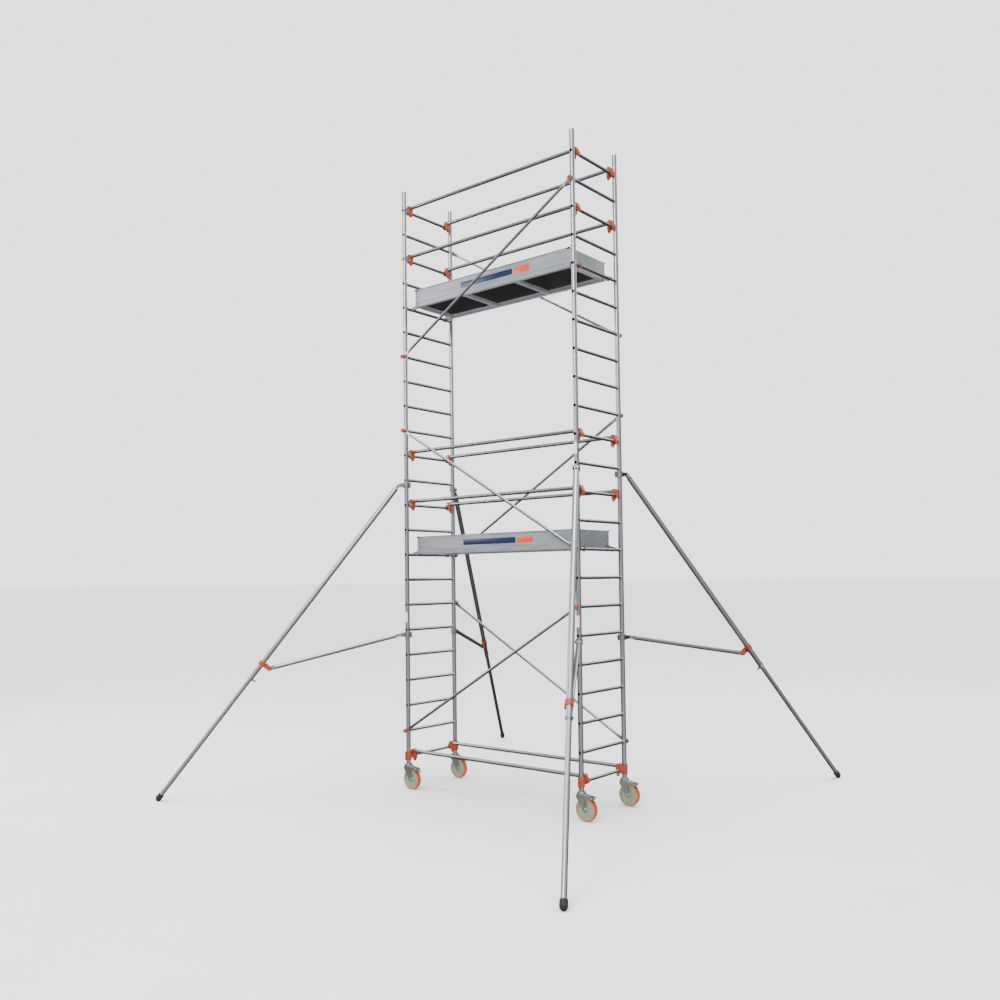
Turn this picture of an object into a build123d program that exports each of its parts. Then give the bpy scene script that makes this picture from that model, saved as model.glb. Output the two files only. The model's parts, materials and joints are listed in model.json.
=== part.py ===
from build123d import *
import os
from math import atan2, cos, degrees, radians, sin, sqrt

# Mobile aluminium tower scaffold. Origin: on the floor, in the middle of the four
# uprights. +X runs along the bay from the left end to the right end, +Y from the
# front to the back, +Z up. Millimetres.

# ---- driving dimensions -------------------------------------------------------
bay_length = 2080.0          # between the upright lines of the two ends
frame_width = 690.0          # between the two uprights of one end frame
rung_pitch = 250.0
first_rung_up = 329.0        # first rung above the uprights' feet
rungs_per_frame = {"base": 6, "lower": 8, "middle": 4, "top": 4}
seam_below_rung = 57.0       # joint between two frames, under the upper frame's first rung
top_above_rung = 193.0       # open socket above the last rung

upright_d = 45.0
upright_wall = 2.5
rung_d = 30.0
rung_wall = 2.0
rail_d = 35.0
rail_wall = 2.0
diagonal_d = 28.0
diagonal_wall = 2.0

socket_depth = 150.0         # reamed length at the top of each frame's uprights
socket_ream = 0.6            # extra radius of that length
spigot_down = 120.0
spigot_up = 40.0
spigot_wall = 3.0
spigot_fit = 0.1             # radial, spigots and caster stems in the uprights
seam_ring_h = 3.0
lock_pin_d = 8.0
lock_pin_below_seam = 38.0
lock_wire_d = 4.0

wheel_d = 200.0
tyre_w = 50.0
tyre_t = 12.0
wheel_w = 44.0
hub_w = 56.0
hub_d = 52.0
caster_trail = 50.0
axle_d = 16.0
fork_t = 5.0
crown_d = 78.0
crown_h = 12.7
bridge_t = 12.0
bridge_gap = 14.0            # between the wheel and the bridge of the fork
stem_h = 150.0
race_d = 72.0
race_t = 7.0
kingpin_d = 16.0
pedal_x = 116.0              # brake pedal's pivot, from the swivel axis
pedal_t = 5.0
pedal_w = 46.0
pedal_pin_d = 8.0

base_collar_up = 79.0        # base collars above the uprights' feet
collar_h = 85.0
collar_wall = 8.5
collar_boss_wall = 6.0
collar_ear = 12.0            # lugs for the collar's bolts, beyond its ring
collar_boss_gap = 0.7        # between the collar's socket and the claw beside it
rail_rise = 38.0             # rail axis above the rung it hooks on
claw_inboard = 65.0          # claw from the upright's axis, along the rung
claw_t = 45.0
claw_jaw_t = 5.0
claw_bolt_d = 8.0
lower_rail_rungs = (10, 12)
upper_rail_rungs = (20, 22)

diagonal_gap = 1.0           # between a brace's flat end and the upright
diagonal_flat_t = 8.0
diagonal_flat_w = 34.0
diagonal_flat_l = 90.0
knob_d = 42.0
knob_t = 26.0
front_diagonals = ((1, 6), (13, 8), (16, 21))    # rung at the left end, at the right end
back_diagonals = ((6, 1), (8, 13), (21, 16))

deck_rungs = {"lower": 8, "upper": 18}
deck_end_gap = 85.0          # end of the deck from the rung that carries it
deck_side_gap = 65.0         # outer face of the toe boards from the upright's axis
deck_low = 5.0               # underside of the deck frame above the rung's axis
beam_h = 42.0
beam_w = 30.0
beam_wall = 2.5
ledge_w = 15.0
ledge_t = 3.0
panel_t = 12.0
cross_w = 40.0
toe_t = 3.0
toe_h = 175.0
toe_lip_h = 4.0
toe_lip_w = 18.0
hook_inboard = 100.0         # deck hook from the upright's axis, along the rung
hook_t = 12.0
wind_lock_t = 8.0
hinge_pin_d = 6.0
hinge_knuckle_d = 12.0
hinge_leaf_t = 2.5
hinge_rise = 6.5             # hinge pin above the top of the side beam
hinge_from_end = (155.0, 505.0)

outriggers = {               # compass angle of the leg from +X, and reach of its foot
    "left_front": (-1, -1, -130.0, 2378.0),
    "right_front": (1, -1, -58.5, 2219.0),
    "right_back": (1, 1, 64.0, 2546.0),
    "left_back": (-1, 1, 117.5, 2440.0),
}
leg_clamp_rung = 11
strut_clamp_rung = 5
clamp_below_rung = 50.0
clamp_h = 54.0
clamp_wall = 8.0
clamp_to_pivot = 47.5        # outrigger's pivots beyond the clamp's ring
wing_hub_d = 24.0
wing_hub_gap = 0.5           # between the clamp's ring and the hub of its wing knob
wing_in_ring = 7.5           # how far a clamp's wings start inside its ring's outer face
wing_above_seat = 14.0
pivot_pin_d = 12.0
tongue_t = 18.0
cheek_t = 5.0
cheek_r = 15.0
outer_leg_d = 50.0
outer_leg_wall = 3.5
outer_leg_l = 2400.0         # from the pivot
leg_slide = 0.5              # radial, inner leg in the outer leg
inner_leg_wall = 2.0
inner_leg_l = 1900.0
tube_start = 45.0            # start of a leg's or strut's tube from its pivot
strut_length = 1305.0
strut_d = 40.0
strut_wall = 2.0
coupler_arm = 90.0
coupler_l = 45.0
coupler_wall = 8.0
coupler_cheek_t = 6.0
coupler_end_r = 22.0
open_pivot_play = 8.0        # slack at the strut's outer pivot
end_collar_l = 22.0
end_collar_t = 4.0
foot_d = 58.0
foot_l = 42.0                # straight part, the domed end comes after it

# ---- clearances ---------------------------------------------------------------
shaft_fit = 0.05             # radial, pins and shafts that turn
weld_fit = 0.05              # radial, pieces that don't move on each other
slide_fit = 0.3              # radial, clamps and couplers that swing or slide
seat_gap = 0.3               # between faces of pieces that move on each other

# ---- derived places -----------------------------------------------------------
half_bay = bay_length / 2
half_width = frame_width / 2
upright_r = upright_d / 2
upright_bore_r = upright_r - upright_wall
rung_r = rung_d / 2
rail_r = rail_d / 2
wheel_r = wheel_d / 2
fork_in = hub_w / 2 + 1.0
bridge_low = wheel_d + bridge_gap
bridge_high = bridge_low + bridge_t
crown_high = bridge_high + crown_h
caster_h = crown_high + seat_gap + race_t
pedal_z = wheel_d
first_rung_z = caster_h + first_rung_up
base_collar_z = caster_h + base_collar_up
collar_boss_end = claw_inboard - claw_t / 2 - seat_gap - claw_jaw_t - collar_boss_gap
diagonal_out = upright_r + diagonal_gap + diagonal_flat_t / 2
deck_half_l = half_bay - deck_end_gap
deck_half_w = half_width - deck_side_gap
clamp_ring_r = upright_r + clamp_wall
pivot_reach = clamp_ring_r + clamp_to_pivot
inner_leg_d = outer_leg_d - 2 * outer_leg_wall - 2 * leg_slide
corners = {
    "left_front": (-half_bay, -half_width),
    "right_front": (half_bay, -half_width),
    "right_back": (half_bay, half_width),
    "left_back": (-half_bay, half_width),
}


def rung_z(number):
    """Height of a rung's axis, counted from 1 at the bottom."""
    return first_rung_z + (number - 1) * rung_pitch


def frame_spans():
    """Name, first rung, last rung, foot and head of each level of end frames."""
    spans = []
    first = 1
    foot = caster_h
    total = sum(rungs_per_frame.values())
    for level, count in rungs_per_frame.items():
        last = first + count - 1
        if last == total:
            head = rung_z(last) + top_above_rung
        else:
            head = rung_z(last + 1) - seam_below_rung - seam_ring_h / 2
        spans.append((level, first, last, foot, head))
        foot = head + seam_ring_h
        first = last + 1
    return spans


spans = frame_spans()
seams = [span[4] + seam_ring_h / 2 for span in spans[:-1]]


def unit(x, z):
    """Direction of length one in a vertical plane."""
    size = sqrt(x * x + z * z)
    return x / size, z / size


def end_plane(side, y, z):
    """Plane on a rung whose local X points into the bay, side -1 left and 1 right."""
    return Plane(origin=(side * half_bay, y, z), x_dir=(-side, 0, 0), z_dir=(0, 0, 1))


def write_node(name, pieces):
    """Write one node. Its pieces stay separate solids."""
    solids = [solid for piece in pieces for solid in piece.solids()]
    node = Compound(solids)
    node.label = name
    export_step(node, f"parts/{name}.step")


def placed(part, plane):
    """Copy of a part that was made in its own frame, put on a plane."""
    return part.moved(plane.location)


def round_tube(start, end, diameter, wall):
    """Straight tube between two points."""
    run = Vector(*end) - Vector(*start)
    with BuildPart() as tube:
        with BuildSketch(Plane(origin=start, z_dir=run)):
            Circle(diameter / 2)
            Circle(diameter / 2 - wall, mode=Mode.SUBTRACT)
        extrude(amount=run.length)
    return tube.part


def round_bar(start, end, radius):
    """Straight solid bar between two points."""
    run = Vector(*end) - Vector(*start)
    with BuildPart() as bar:
        with BuildSketch(Plane(origin=start, z_dir=run)):
            Circle(radius)
        extrude(amount=run.length)
    return bar.part


def bolt(start, end, radius, head_w, head_t):
    """Bolt from start to end with a hexagon outside each of them."""
    run = Vector(*end) - Vector(*start)
    with BuildPart() as piece:
        with BuildSketch(Plane(origin=start, z_dir=run)):
            Circle(radius)
        extrude(amount=run.length)
        with BuildSketch(Plane(origin=end, z_dir=run)):
            RegularPolygon(head_w / 2, 6, major_radius=False)
        extrude(amount=head_t)
        with BuildSketch(Plane(origin=start, z_dir=-run)):
            RegularPolygon(head_w / 2, 6, major_radius=False)
        extrude(amount=head_t)
    return piece.part


def hull_face(circles):
    """Outline pulled tight round circles given as x, y, radius, in the current sketch."""
    for x, y, radius in circles:
        with Locations((x, y)):
            Circle(radius)
    make_hull()


os.makedirs("parts", exist_ok=True)


# ---- end frames ---------------------------------------------------------------
def upright(x, y, first, last, foot, head):
    """One upright tube, drilled for its rungs, its lock pins and its top socket."""
    with BuildPart() as tube:
        with BuildSketch(Plane.XY.offset(foot)):
            with Locations((x, y)):
                Circle(upright_r)
                Circle(upright_bore_r, mode=Mode.SUBTRACT)
        extrude(amount=head - foot)
        with BuildSketch(Plane.XY.offset(head - socket_depth)):
            with Locations((x, y)):
                Circle(upright_bore_r + socket_ream)
        extrude(amount=socket_depth, mode=Mode.SUBTRACT)
        for number in range(first, last + 1):
            with BuildSketch(Plane.XZ.offset(-y)):
                with Locations((x, rung_z(number))):
                    Circle(rung_r + weld_fit)
            extrude(amount=upright_d, both=True, mode=Mode.SUBTRACT)
        if head < rung_z(sum(rungs_per_frame.values())):
            pin_z = head + seam_ring_h / 2 - lock_pin_below_seam
            with BuildSketch(Plane.YZ.offset(x)):
                with Locations((y, pin_z)):
                    Circle(lock_pin_d / 2 + weld_fit)
            extrude(amount=upright_d, both=True, mode=Mode.SUBTRACT)
    return tube.part


rung_end = half_width + upright_r - 1.5
for level, first, last, foot, head in spans:
    pieces = []
    for x in (-half_bay, half_bay):
        pieces += [upright(x, y, first, last, foot, head) for y in (-half_width, half_width)]
        for number in range(first, last + 1):
            z = rung_z(number)
            pieces.append(round_tube((x, -rung_end, z), (x, rung_end, z), rung_d, rung_wall))
    write_node(f"{level}_frames", pieces)


# ---- spigots and their lock clips ---------------------------------------------
def spigot():
    """Joint tube with a ring that keeps the two uprights apart, seam at the origin."""
    radius = upright_bore_r - spigot_fit
    with BuildPart() as piece:
        with BuildSketch(Plane.XY.offset(-spigot_down)):
            Circle(radius + socket_ream)
        extrude(amount=spigot_down)
        with BuildSketch(Plane.XY):
            Circle(radius)
        extrude(amount=spigot_up)
        with BuildSketch(Plane.XY.offset(-seam_ring_h / 2)):
            Circle(upright_r)
        extrude(amount=seam_ring_h)
        with BuildSketch(Plane.XY.offset(-spigot_down)):
            Circle(radius - spigot_wall)
        extrude(amount=spigot_down + spigot_up, mode=Mode.SUBTRACT)
        with BuildSketch(Plane.YZ):
            with Locations((0, -lock_pin_below_seam)):
                Circle(lock_pin_d / 2 + weld_fit)
        extrude(amount=upright_d, both=True, mode=Mode.SUBTRACT)
    return piece.part


def lock_clip():
    """Lock pin with its spring wire round the outside of the upright, on the -Y side."""
    wire_r = upright_r + lock_wire_d / 2 + 1.0
    with BuildPart() as piece:
        with BuildSketch(Plane.YZ.offset(-wire_r)):
            Circle(lock_pin_d / 2)
        extrude(amount=2 * wire_r + 8.0)
        with BuildSketch(Plane.XZ):
            with Locations((-wire_r, 0)):
                Circle(lock_wire_d / 2)
        revolve(axis=Axis.Z, revolution_arc=180)
    return piece.part


one_spigot = spigot()
one_clip = lock_clip()
spigots = []
clips = []
for seam in seams:
    for x, y in corners.values():
        spigots.append(placed(one_spigot, Plane(origin=(x, y, seam))))
        outward = 1 if y < 0 else -1
        at_pin = Plane(origin=(x, y, seam - lock_pin_below_seam), x_dir=(outward, 0, 0), z_dir=(0, 0, 1))
        clips.append(placed(one_clip, at_pin))
write_node("frame_spigots", spigots)
write_node("frame_lock_clips", clips)


# ---- base collars and transoms ------------------------------------------------
def base_collar():
    """Clamp collar on an upright, its socket for the transom towards +X."""
    ring_r = upright_r + collar_wall
    with BuildPart() as piece:
        with BuildSketch(Plane.XY.offset(-collar_h / 2)):
            Circle(ring_r)
            with Locations((-ring_r, 0)):
                Rectangle(2 * collar_ear, 16)
        extrude(amount=collar_h)
        with BuildSketch(Plane.YZ):
            Circle(rung_r + collar_boss_wall)
        extrude(amount=collar_boss_end)
        with BuildSketch(Plane.XY.offset(-collar_h / 2)):
            Circle(upright_r + weld_fit)
            with Locations((-ring_r - 6, 0)):
                Rectangle(2 * collar_wall + 12, 3)
        extrude(amount=collar_h, mode=Mode.SUBTRACT)
        with BuildSketch(Plane.YZ.offset(upright_r)):
            Circle(rung_r + weld_fit)
        extrude(amount=collar_boss_end, mode=Mode.SUBTRACT)
        bolt_x = -ring_r - collar_ear / 2
        with Locations((bolt_x, 0, -collar_h / 4), (bolt_x, 0, collar_h / 4)):
            Cylinder(2.5 + weld_fit, 40, rotation=(90, 0, 0), mode=Mode.SUBTRACT)
    return piece.part


one_collar = base_collar()
collars = []
transoms = []
for x, y in corners.values():
    inward = -1 if y > 0 else 1
    collar_plane = Plane(origin=(x, y, base_collar_z), x_dir=(0, inward, 0), z_dir=(0, 0, 1))
    collars.append(placed(one_collar, collar_plane))
transom_end = half_width - upright_r - 4.0
for x in (-half_bay, half_bay):
    ends = ((x, -transom_end, base_collar_z), (x, transom_end, base_collar_z))
    transoms.append(round_tube(*ends, rung_d, rung_wall))
write_node("base_collars", collars)
write_node("base_transoms", transoms)

# ---- rails, claws and jaws ----------------------------------------------------
rail_start = 8.0
claw_top = (14.0, rail_rise)
claw_pivot = (26.0, -14.0)


def rail_claw():
    """Cast claw over a rung on the Y axis. The rail leaves towards +X above it."""
    with BuildPart() as piece:
        with BuildSketch(Plane.XZ):
            hull_face([(0, 0, rung_r + 13), (*claw_top, rail_r + 6.5), (24, -24, 13)])
        extrude(amount=claw_t / 2, both=True)
        with BuildSketch(Plane.XZ):
            with Locations((27, -42)):
                Circle(14)
        extrude(amount=claw_t / 5, both=True)
        with BuildSketch(Plane.XZ):
            with Locations((27, -44)):
                Circle(8)
            Circle(rung_r + weld_fit)
            with Locations((0, -40)):
                Rectangle(rung_d + 2 * weld_fit, 80)
        extrude(amount=claw_t, both=True, mode=Mode.SUBTRACT)
        with BuildSketch(Plane.YZ.offset(rail_start)):
            with Locations((0, rail_rise)):
                Circle(rail_r + weld_fit)
        extrude(amount=100, mode=Mode.SUBTRACT)
        for x, z in (claw_top, claw_pivot):
            with Locations((x, 0, z)):
                Cylinder(claw_bolt_d / 2 + weld_fit, 2 * claw_t, rotation=(90, 0, 0), mode=Mode.SUBTRACT)
    return piece.part


def jaw_plate(thickness, pivot, pivot_r):
    """Flat hook round a rung on the Y axis, open towards -X, with a bolt hole at its pivot."""
    with BuildPart() as piece:
        with BuildSketch(Plane.XZ):
            hull_face([(0, 0, rung_r + 8), (*pivot, pivot_r)])
            Circle(rung_r + weld_fit, mode=Mode.SUBTRACT)
            with Locations((-20, 4)):
                Rectangle(40, rung_d - 8, mode=Mode.SUBTRACT)
            with Locations(pivot):
                Circle(claw_bolt_d / 2 + weld_fit, mode=Mode.SUBTRACT)
        extrude(amount=thickness / 2, both=True)
    return piece.part


rail_levels = {
    "base_rails": [base_collar_z],
    "lower_guardrails": [rung_z(number) for number in lower_rail_rungs],
    "upper_guardrails": [rung_z(number) for number in upper_rail_rungs],
}
one_claw = rail_claw()
one_jaw = jaw_plate(claw_jaw_t, claw_pivot, 11.0)
jaw_offset = claw_t / 2 + seat_gap + claw_jaw_t / 2
rail_half = half_bay - rail_start
claws = []
jaws = []
claw_bolts = []
for node, heights in rail_levels.items():
    rails = []
    for z in heights:
        for side_y in (-1, 1):
            y = side_y * (half_width - claw_inboard)
            with BuildPart() as rail:
                with BuildSketch(Plane.YZ.offset(-rail_half)):
                    with Locations((y, z + rail_rise)):
                        Circle(rail_r)
                        Circle(rail_r - rail_wall, mode=Mode.SUBTRACT)
                extrude(amount=2 * rail_half)
                with Locations(
                    (-half_bay + claw_top[0], y, z + rail_rise),
                    (half_bay - claw_top[0], y, z + rail_rise),
                ):
                    Cylinder(claw_bolt_d / 2 + weld_fit, 2 * rail_d, rotation=(90, 0, 0), mode=Mode.SUBTRACT)
            rails.append(rail.part)
            for side_x in (-1, 1):
                claws.append(placed(one_claw, end_plane(side_x, y, z)))
                jaws.append(placed(one_jaw, end_plane(side_x, y + side_y * jaw_offset, z)))
                bolt_x = side_x * (half_bay - claw_top[0])
                half_grip = claw_t / 2
                start = (bolt_x, y - half_grip, z + rail_rise)
                end = (bolt_x, y + half_grip, z + rail_rise)
                claw_bolts.append(bolt(start, end, claw_bolt_d / 2, 13.0, 5.0))
                bolt_x = side_x * (half_bay - claw_pivot[0])
                inner_y = y - side_y * half_grip
                outer_y = y + side_y * (jaw_offset + claw_jaw_t / 2)
                start = (bolt_x, inner_y, z + claw_pivot[1])
                end = (bolt_x, outer_y, z + claw_pivot[1])
                claw_bolts.append(bolt(start, end, claw_bolt_d / 2, 13.0, 5.0))
    write_node(node, rails)
for x, y in corners.values():
    outward = 1 if y > 0 else -1
    clamp_y = y + outward * (upright_r + collar_wall + collar_ear / 2)
    for dz in (-collar_h / 4, collar_h / 4):
        start = (x - 8, clamp_y, base_collar_z + dz)
        end = (x + 8, clamp_y, base_collar_z + dz)
        claw_bolts.append(bolt(start, end, 2.5, 8.0, 4.0))
write_node("rail_claws", claws)
write_node("rail_claw_jaws", jaws)
write_node("claw_bolts", claw_bolts)


# ---- diagonal braces ----------------------------------------------------------
def diagonal(side_y, left_z, right_z):
    """Brace with flattened ends, outside the uprights on the side side_y."""
    y = side_y * (half_width + diagonal_out)
    start = Vector(-half_bay, y, left_z)
    end = Vector(half_bay, y, right_z)
    run = (end - start).normalized()
    along = Plane(origin=start, x_dir=run, z_dir=(0, 1, 0))
    length = (end - start).length
    with BuildPart() as brace:
        with BuildSketch(Plane(origin=start + run * diagonal_flat_l, z_dir=run)):
            Circle(diagonal_d / 2)
        extrude(amount=length - 2 * diagonal_flat_l)
        for near in (0.0, length):
            inner = diagonal_flat_l + 20.0 if near == 0.0 else length - diagonal_flat_l - 20.0
            with BuildSketch(along):
                with Locations(((near + inner) / 2, 0)):
                    Rectangle(abs(near - inner), diagonal_flat_w)
                with Locations((near, 0)):
                    Circle(diagonal_flat_w / 2)
            extrude(amount=diagonal_flat_t / 2, both=True)
        bore_start = diagonal_flat_l + 20.0
        with BuildSketch(Plane(origin=start + run * bore_start, z_dir=run)):
            Circle(diagonal_d / 2 - diagonal_wall)
        extrude(amount=length - 2 * bore_start, mode=Mode.SUBTRACT)
        for x in (0.0, length):
            with BuildSketch(along):
                with Locations((x, 0)):
                    Circle(rung_r - rung_wall - 0.5 + weld_fit)
            extrude(amount=diagonal_flat_t, both=True, mode=Mode.SUBTRACT)
    return brace.part


def diagonal_knob():
    """Orange locking knob with its plug, seat at the origin, plug towards +Y."""
    plug_l = diagonal_flat_t + diagonal_out - diagonal_flat_t / 2 - upright_r + 16.0
    with BuildPart() as piece:
        with BuildSketch(Plane.XZ):
            Circle(knob_d / 2)
        extrude(amount=knob_t)
        chamfer(piece.faces().sort_by(Axis.Y)[0].edges(), 5)
        with BuildSketch(Plane.XZ):
            Circle(rung_r - rung_wall - 0.5)
        extrude(amount=-plug_l)
        with BuildSketch(Plane.XZ.offset(knob_t)):
            Rectangle(knob_d - 12, 7)
        extrude(amount=8)
    return piece.part


one_knob = diagonal_knob()
diagonals = []
knobs = []
knob_seat = half_width + diagonal_out + diagonal_flat_t / 2
for side_y, braces in ((-1, front_diagonals), (1, back_diagonals)):
    for left, right in braces:
        diagonals.append(diagonal(side_y, rung_z(left), rung_z(right)))
        for x, number in ((-half_bay, left), (half_bay, right)):
            spot = (x, side_y * knob_seat, rung_z(number))
            seat = Plane(origin=spot, x_dir=(-side_y, 0, 0), z_dir=(0, 0, 1))
            knobs.append(placed(one_knob, seat))
write_node("diagonals", diagonals)
write_node("diagonal_knobs", knobs)

# ---- platforms ----------------------------------------------------------------
beam_out = deck_half_w - toe_t - seat_gap
beam_in = beam_out - beam_w
panel_half_w = beam_in - 1.0
end_beam_in = deck_half_l - beam_w
cross_x = deck_half_l / 3
hinge_y = -beam_in - 1.0


def side_beam(side_y, z):
    """Box beam with a ledge that carries the floor panels."""
    low = z + deck_low
    with BuildPart() as beam:
        with BuildSketch(Plane.YZ.offset(-deck_half_l)):
            with Locations((side_y * (beam_in + beam_w / 2), low + beam_h / 2)):
                Rectangle(beam_w, beam_h)
                Rectangle(beam_w - 2 * beam_wall, beam_h - 2 * beam_wall, mode=Mode.SUBTRACT)
            with Locations((side_y * (beam_in - ledge_w / 2), low + beam_h - panel_t - ledge_t / 2)):
                Rectangle(ledge_w, ledge_t)
        extrude(amount=2 * deck_half_l)
    return beam.part


def end_beam(side_x, z):
    """Box beam across the end of the deck, with the same ledge."""
    low = z + deck_low
    with BuildPart() as beam:
        with BuildSketch(Plane.XZ.offset(-(beam_in - ledge_w - seat_gap))):
            with Locations((side_x * (deck_half_l - beam_w / 2), low + beam_h / 2)):
                Rectangle(beam_w, beam_h)
                Rectangle(beam_w - 2 * beam_wall, beam_h - 2 * beam_wall, mode=Mode.SUBTRACT)
            with Locations((side_x * (end_beam_in - ledge_w / 2), low + beam_h - panel_t - ledge_t / 2)):
                Rectangle(ledge_w, ledge_t)
        extrude(amount=2 * (beam_in - ledge_w - seat_gap))
    return beam.part


def end_filler(side_x, side_y, z):
    """Corner block that joins an end beam to a side beam under the ledge."""
    low = z + deck_low
    depth = ledge_w + seat_gap
    with BuildPart() as block:
        with BuildSketch(Plane.XY.offset(low)):
            with Locations((side_x * (deck_half_l - beam_w / 2), side_y * (beam_in - depth / 2))):
                Rectangle(beam_w, depth)
        extrude(amount=beam_h - panel_t - ledge_t)
    return block.part


def cross_member(x, z):
    """Box tube under the panels, between the side beams."""
    high = z + deck_low + beam_h - panel_t
    depth = high - (z + deck_low)
    half_span = beam_in
    with BuildPart() as beam:
        with BuildSketch(Plane.XZ.offset(-half_span)):
            with Locations((x, high - depth / 2)):
                Rectangle(cross_w, depth)
                Rectangle(cross_w - 2 * beam_wall, depth - 2 * beam_wall, mode=Mode.SUBTRACT)
        extrude(amount=2 * half_span)
        with Locations((x, -half_span + ledge_w / 2, high - ledge_t / 2)):
            Box(cross_w, ledge_w, ledge_t, mode=Mode.SUBTRACT)
        with Locations((x, half_span - ledge_w / 2, high - ledge_t / 2)):
            Box(cross_w, ledge_w, ledge_t, mode=Mode.SUBTRACT)
    return beam.part


def floor_panel(start, end, z, lift, gap):
    """Plywood panel between two places along the deck."""
    with BuildPart() as panel:
        with BuildSketch(Plane.XY.offset(z + deck_low + beam_h - panel_t + lift)):
            with Locations(((start + end) / 2, 0)):
                RectangleRounded(end - start, 2 * (panel_half_w - gap), 3)
        extrude(amount=panel_t)
    return panel.part


def trapdoor(start, end, z):
    """Hatch panel with its hinge leaves and knuckles, its hinge along the front beam."""
    top = z + deck_low + beam_h + seat_gap
    pin_z = z + deck_low + beam_h + hinge_rise
    with BuildPart() as door:
        add(floor_panel(start, end, z, seat_gap, 2.0))
        for offset in hinge_from_end:
            x = -deck_half_l + offset
            with Locations((x, hinge_y + 20, top + hinge_leaf_t / 2)):
                Box(40, 40, hinge_leaf_t)
            with Locations((x, hinge_y, pin_z)):
                Cylinder(hinge_knuckle_d / 2, 40, rotation=(0, 90, 0))
            with Locations((x, hinge_y + 3, (top + pin_z) / 2)):
                Box(40, 6, pin_z - top)
            with Locations((x, hinge_y, pin_z)):
                Cylinder(hinge_pin_d / 2 + shaft_fit, 60, rotation=(0, 90, 0), mode=Mode.SUBTRACT)
        with Locations(((start + end) / 2 + 150, panel_half_w - 35, top - panel_t - 4)):
            Box(60, 30, 8)
    return door.part


def hinge_fixed_leaf(x, z):
    """Leaf and two knuckles on the side beam, with the pin in them."""
    top = z + deck_low + beam_h
    pin_z = top + hinge_rise
    with BuildPart() as leaf:
        for dx in (-30.3, 30.3):
            with Locations((x + dx, hinge_y - 12, top + hinge_leaf_t / 2)):
                Box(20, 24, hinge_leaf_t)
            with Locations((x + dx, hinge_y, pin_z)):
                Cylinder(hinge_knuckle_d / 2, 20, rotation=(0, 90, 0))
            with Locations((x + dx, hinge_y - 4.5, (top + pin_z) / 2)):
                Box(20, 3, pin_z - top)
        with Locations((x, hinge_y - 17, top + hinge_leaf_t / 2)):
            Box(80.6, 14, hinge_leaf_t)
        with Locations((x, hinge_y, pin_z)):
            Cylinder(hinge_pin_d / 2, 80.6, rotation=(0, 90, 0))
    return leaf.part


def long_toe_board(side_y, z):
    """Side board with a lip along its top and its bottom edge."""
    low = z + deck_low
    with BuildPart() as board:
        with BuildSketch(Plane.YZ.offset(-deck_half_l)):
            with Locations((side_y * (deck_half_w - toe_t / 2), low + toe_h / 2)):
                Rectangle(toe_t, toe_h)
            with Locations((side_y * deck_half_w, low + toe_h - toe_lip_h / 2)):
                Rectangle(toe_lip_w, toe_lip_h)
            with Locations((side_y * (deck_half_w + toe_lip_w / 6), low + toe_lip_h / 2)):
                Rectangle(toe_lip_w / 3, toe_lip_h)
            with Locations((side_y * (deck_half_w + toe_t / 2), low + beam_h)):
                Rectangle(toe_t, toe_t)
        extrude(amount=2 * deck_half_l)
    return board.part


def end_toe_board(side_x, z):
    """End board that stands on the end beam, between the side boards."""
    low = z + deck_low + beam_h
    high = z + deck_low + toe_h
    half_span = deck_half_w - toe_lip_w / 2 - 1.0
    with BuildPart() as board:
        with BuildSketch(Plane.XZ.offset(-half_span)):
            with Locations((side_x * (deck_half_l - toe_t / 2), (low + high) / 2)):
                Rectangle(toe_t, high - low)
            with Locations((side_x * (deck_half_l - toe_lip_w / 4), high - toe_lip_h / 2)):
                Rectangle(toe_lip_w / 2, toe_lip_h)
        extrude(amount=2 * half_span)
    return board.part


def deck_hook():
    """Cast hook over a rung on the Y axis, its back against the deck's end beam."""
    back = deck_end_gap - 4.0
    with BuildPart() as hook:
        with BuildSketch(Plane.XZ):
            hull_face([
                (0, 0, rung_r + 7),
                (back, deck_low + beam_h - 4, 4),
                (back, deck_low + 4, 4),
            ])
            Circle(rung_r + weld_fit, mode=Mode.SUBTRACT)
            with Locations((0, -20)):
                Rectangle(rung_d + 2 * weld_fit, 40, mode=Mode.SUBTRACT)
            with Locations(wind_lock_pivot):
                Circle(claw_bolt_d / 2 + weld_fit, mode=Mode.SUBTRACT)
        extrude(amount=hook_t / 2, both=True)
    return hook.part


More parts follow.
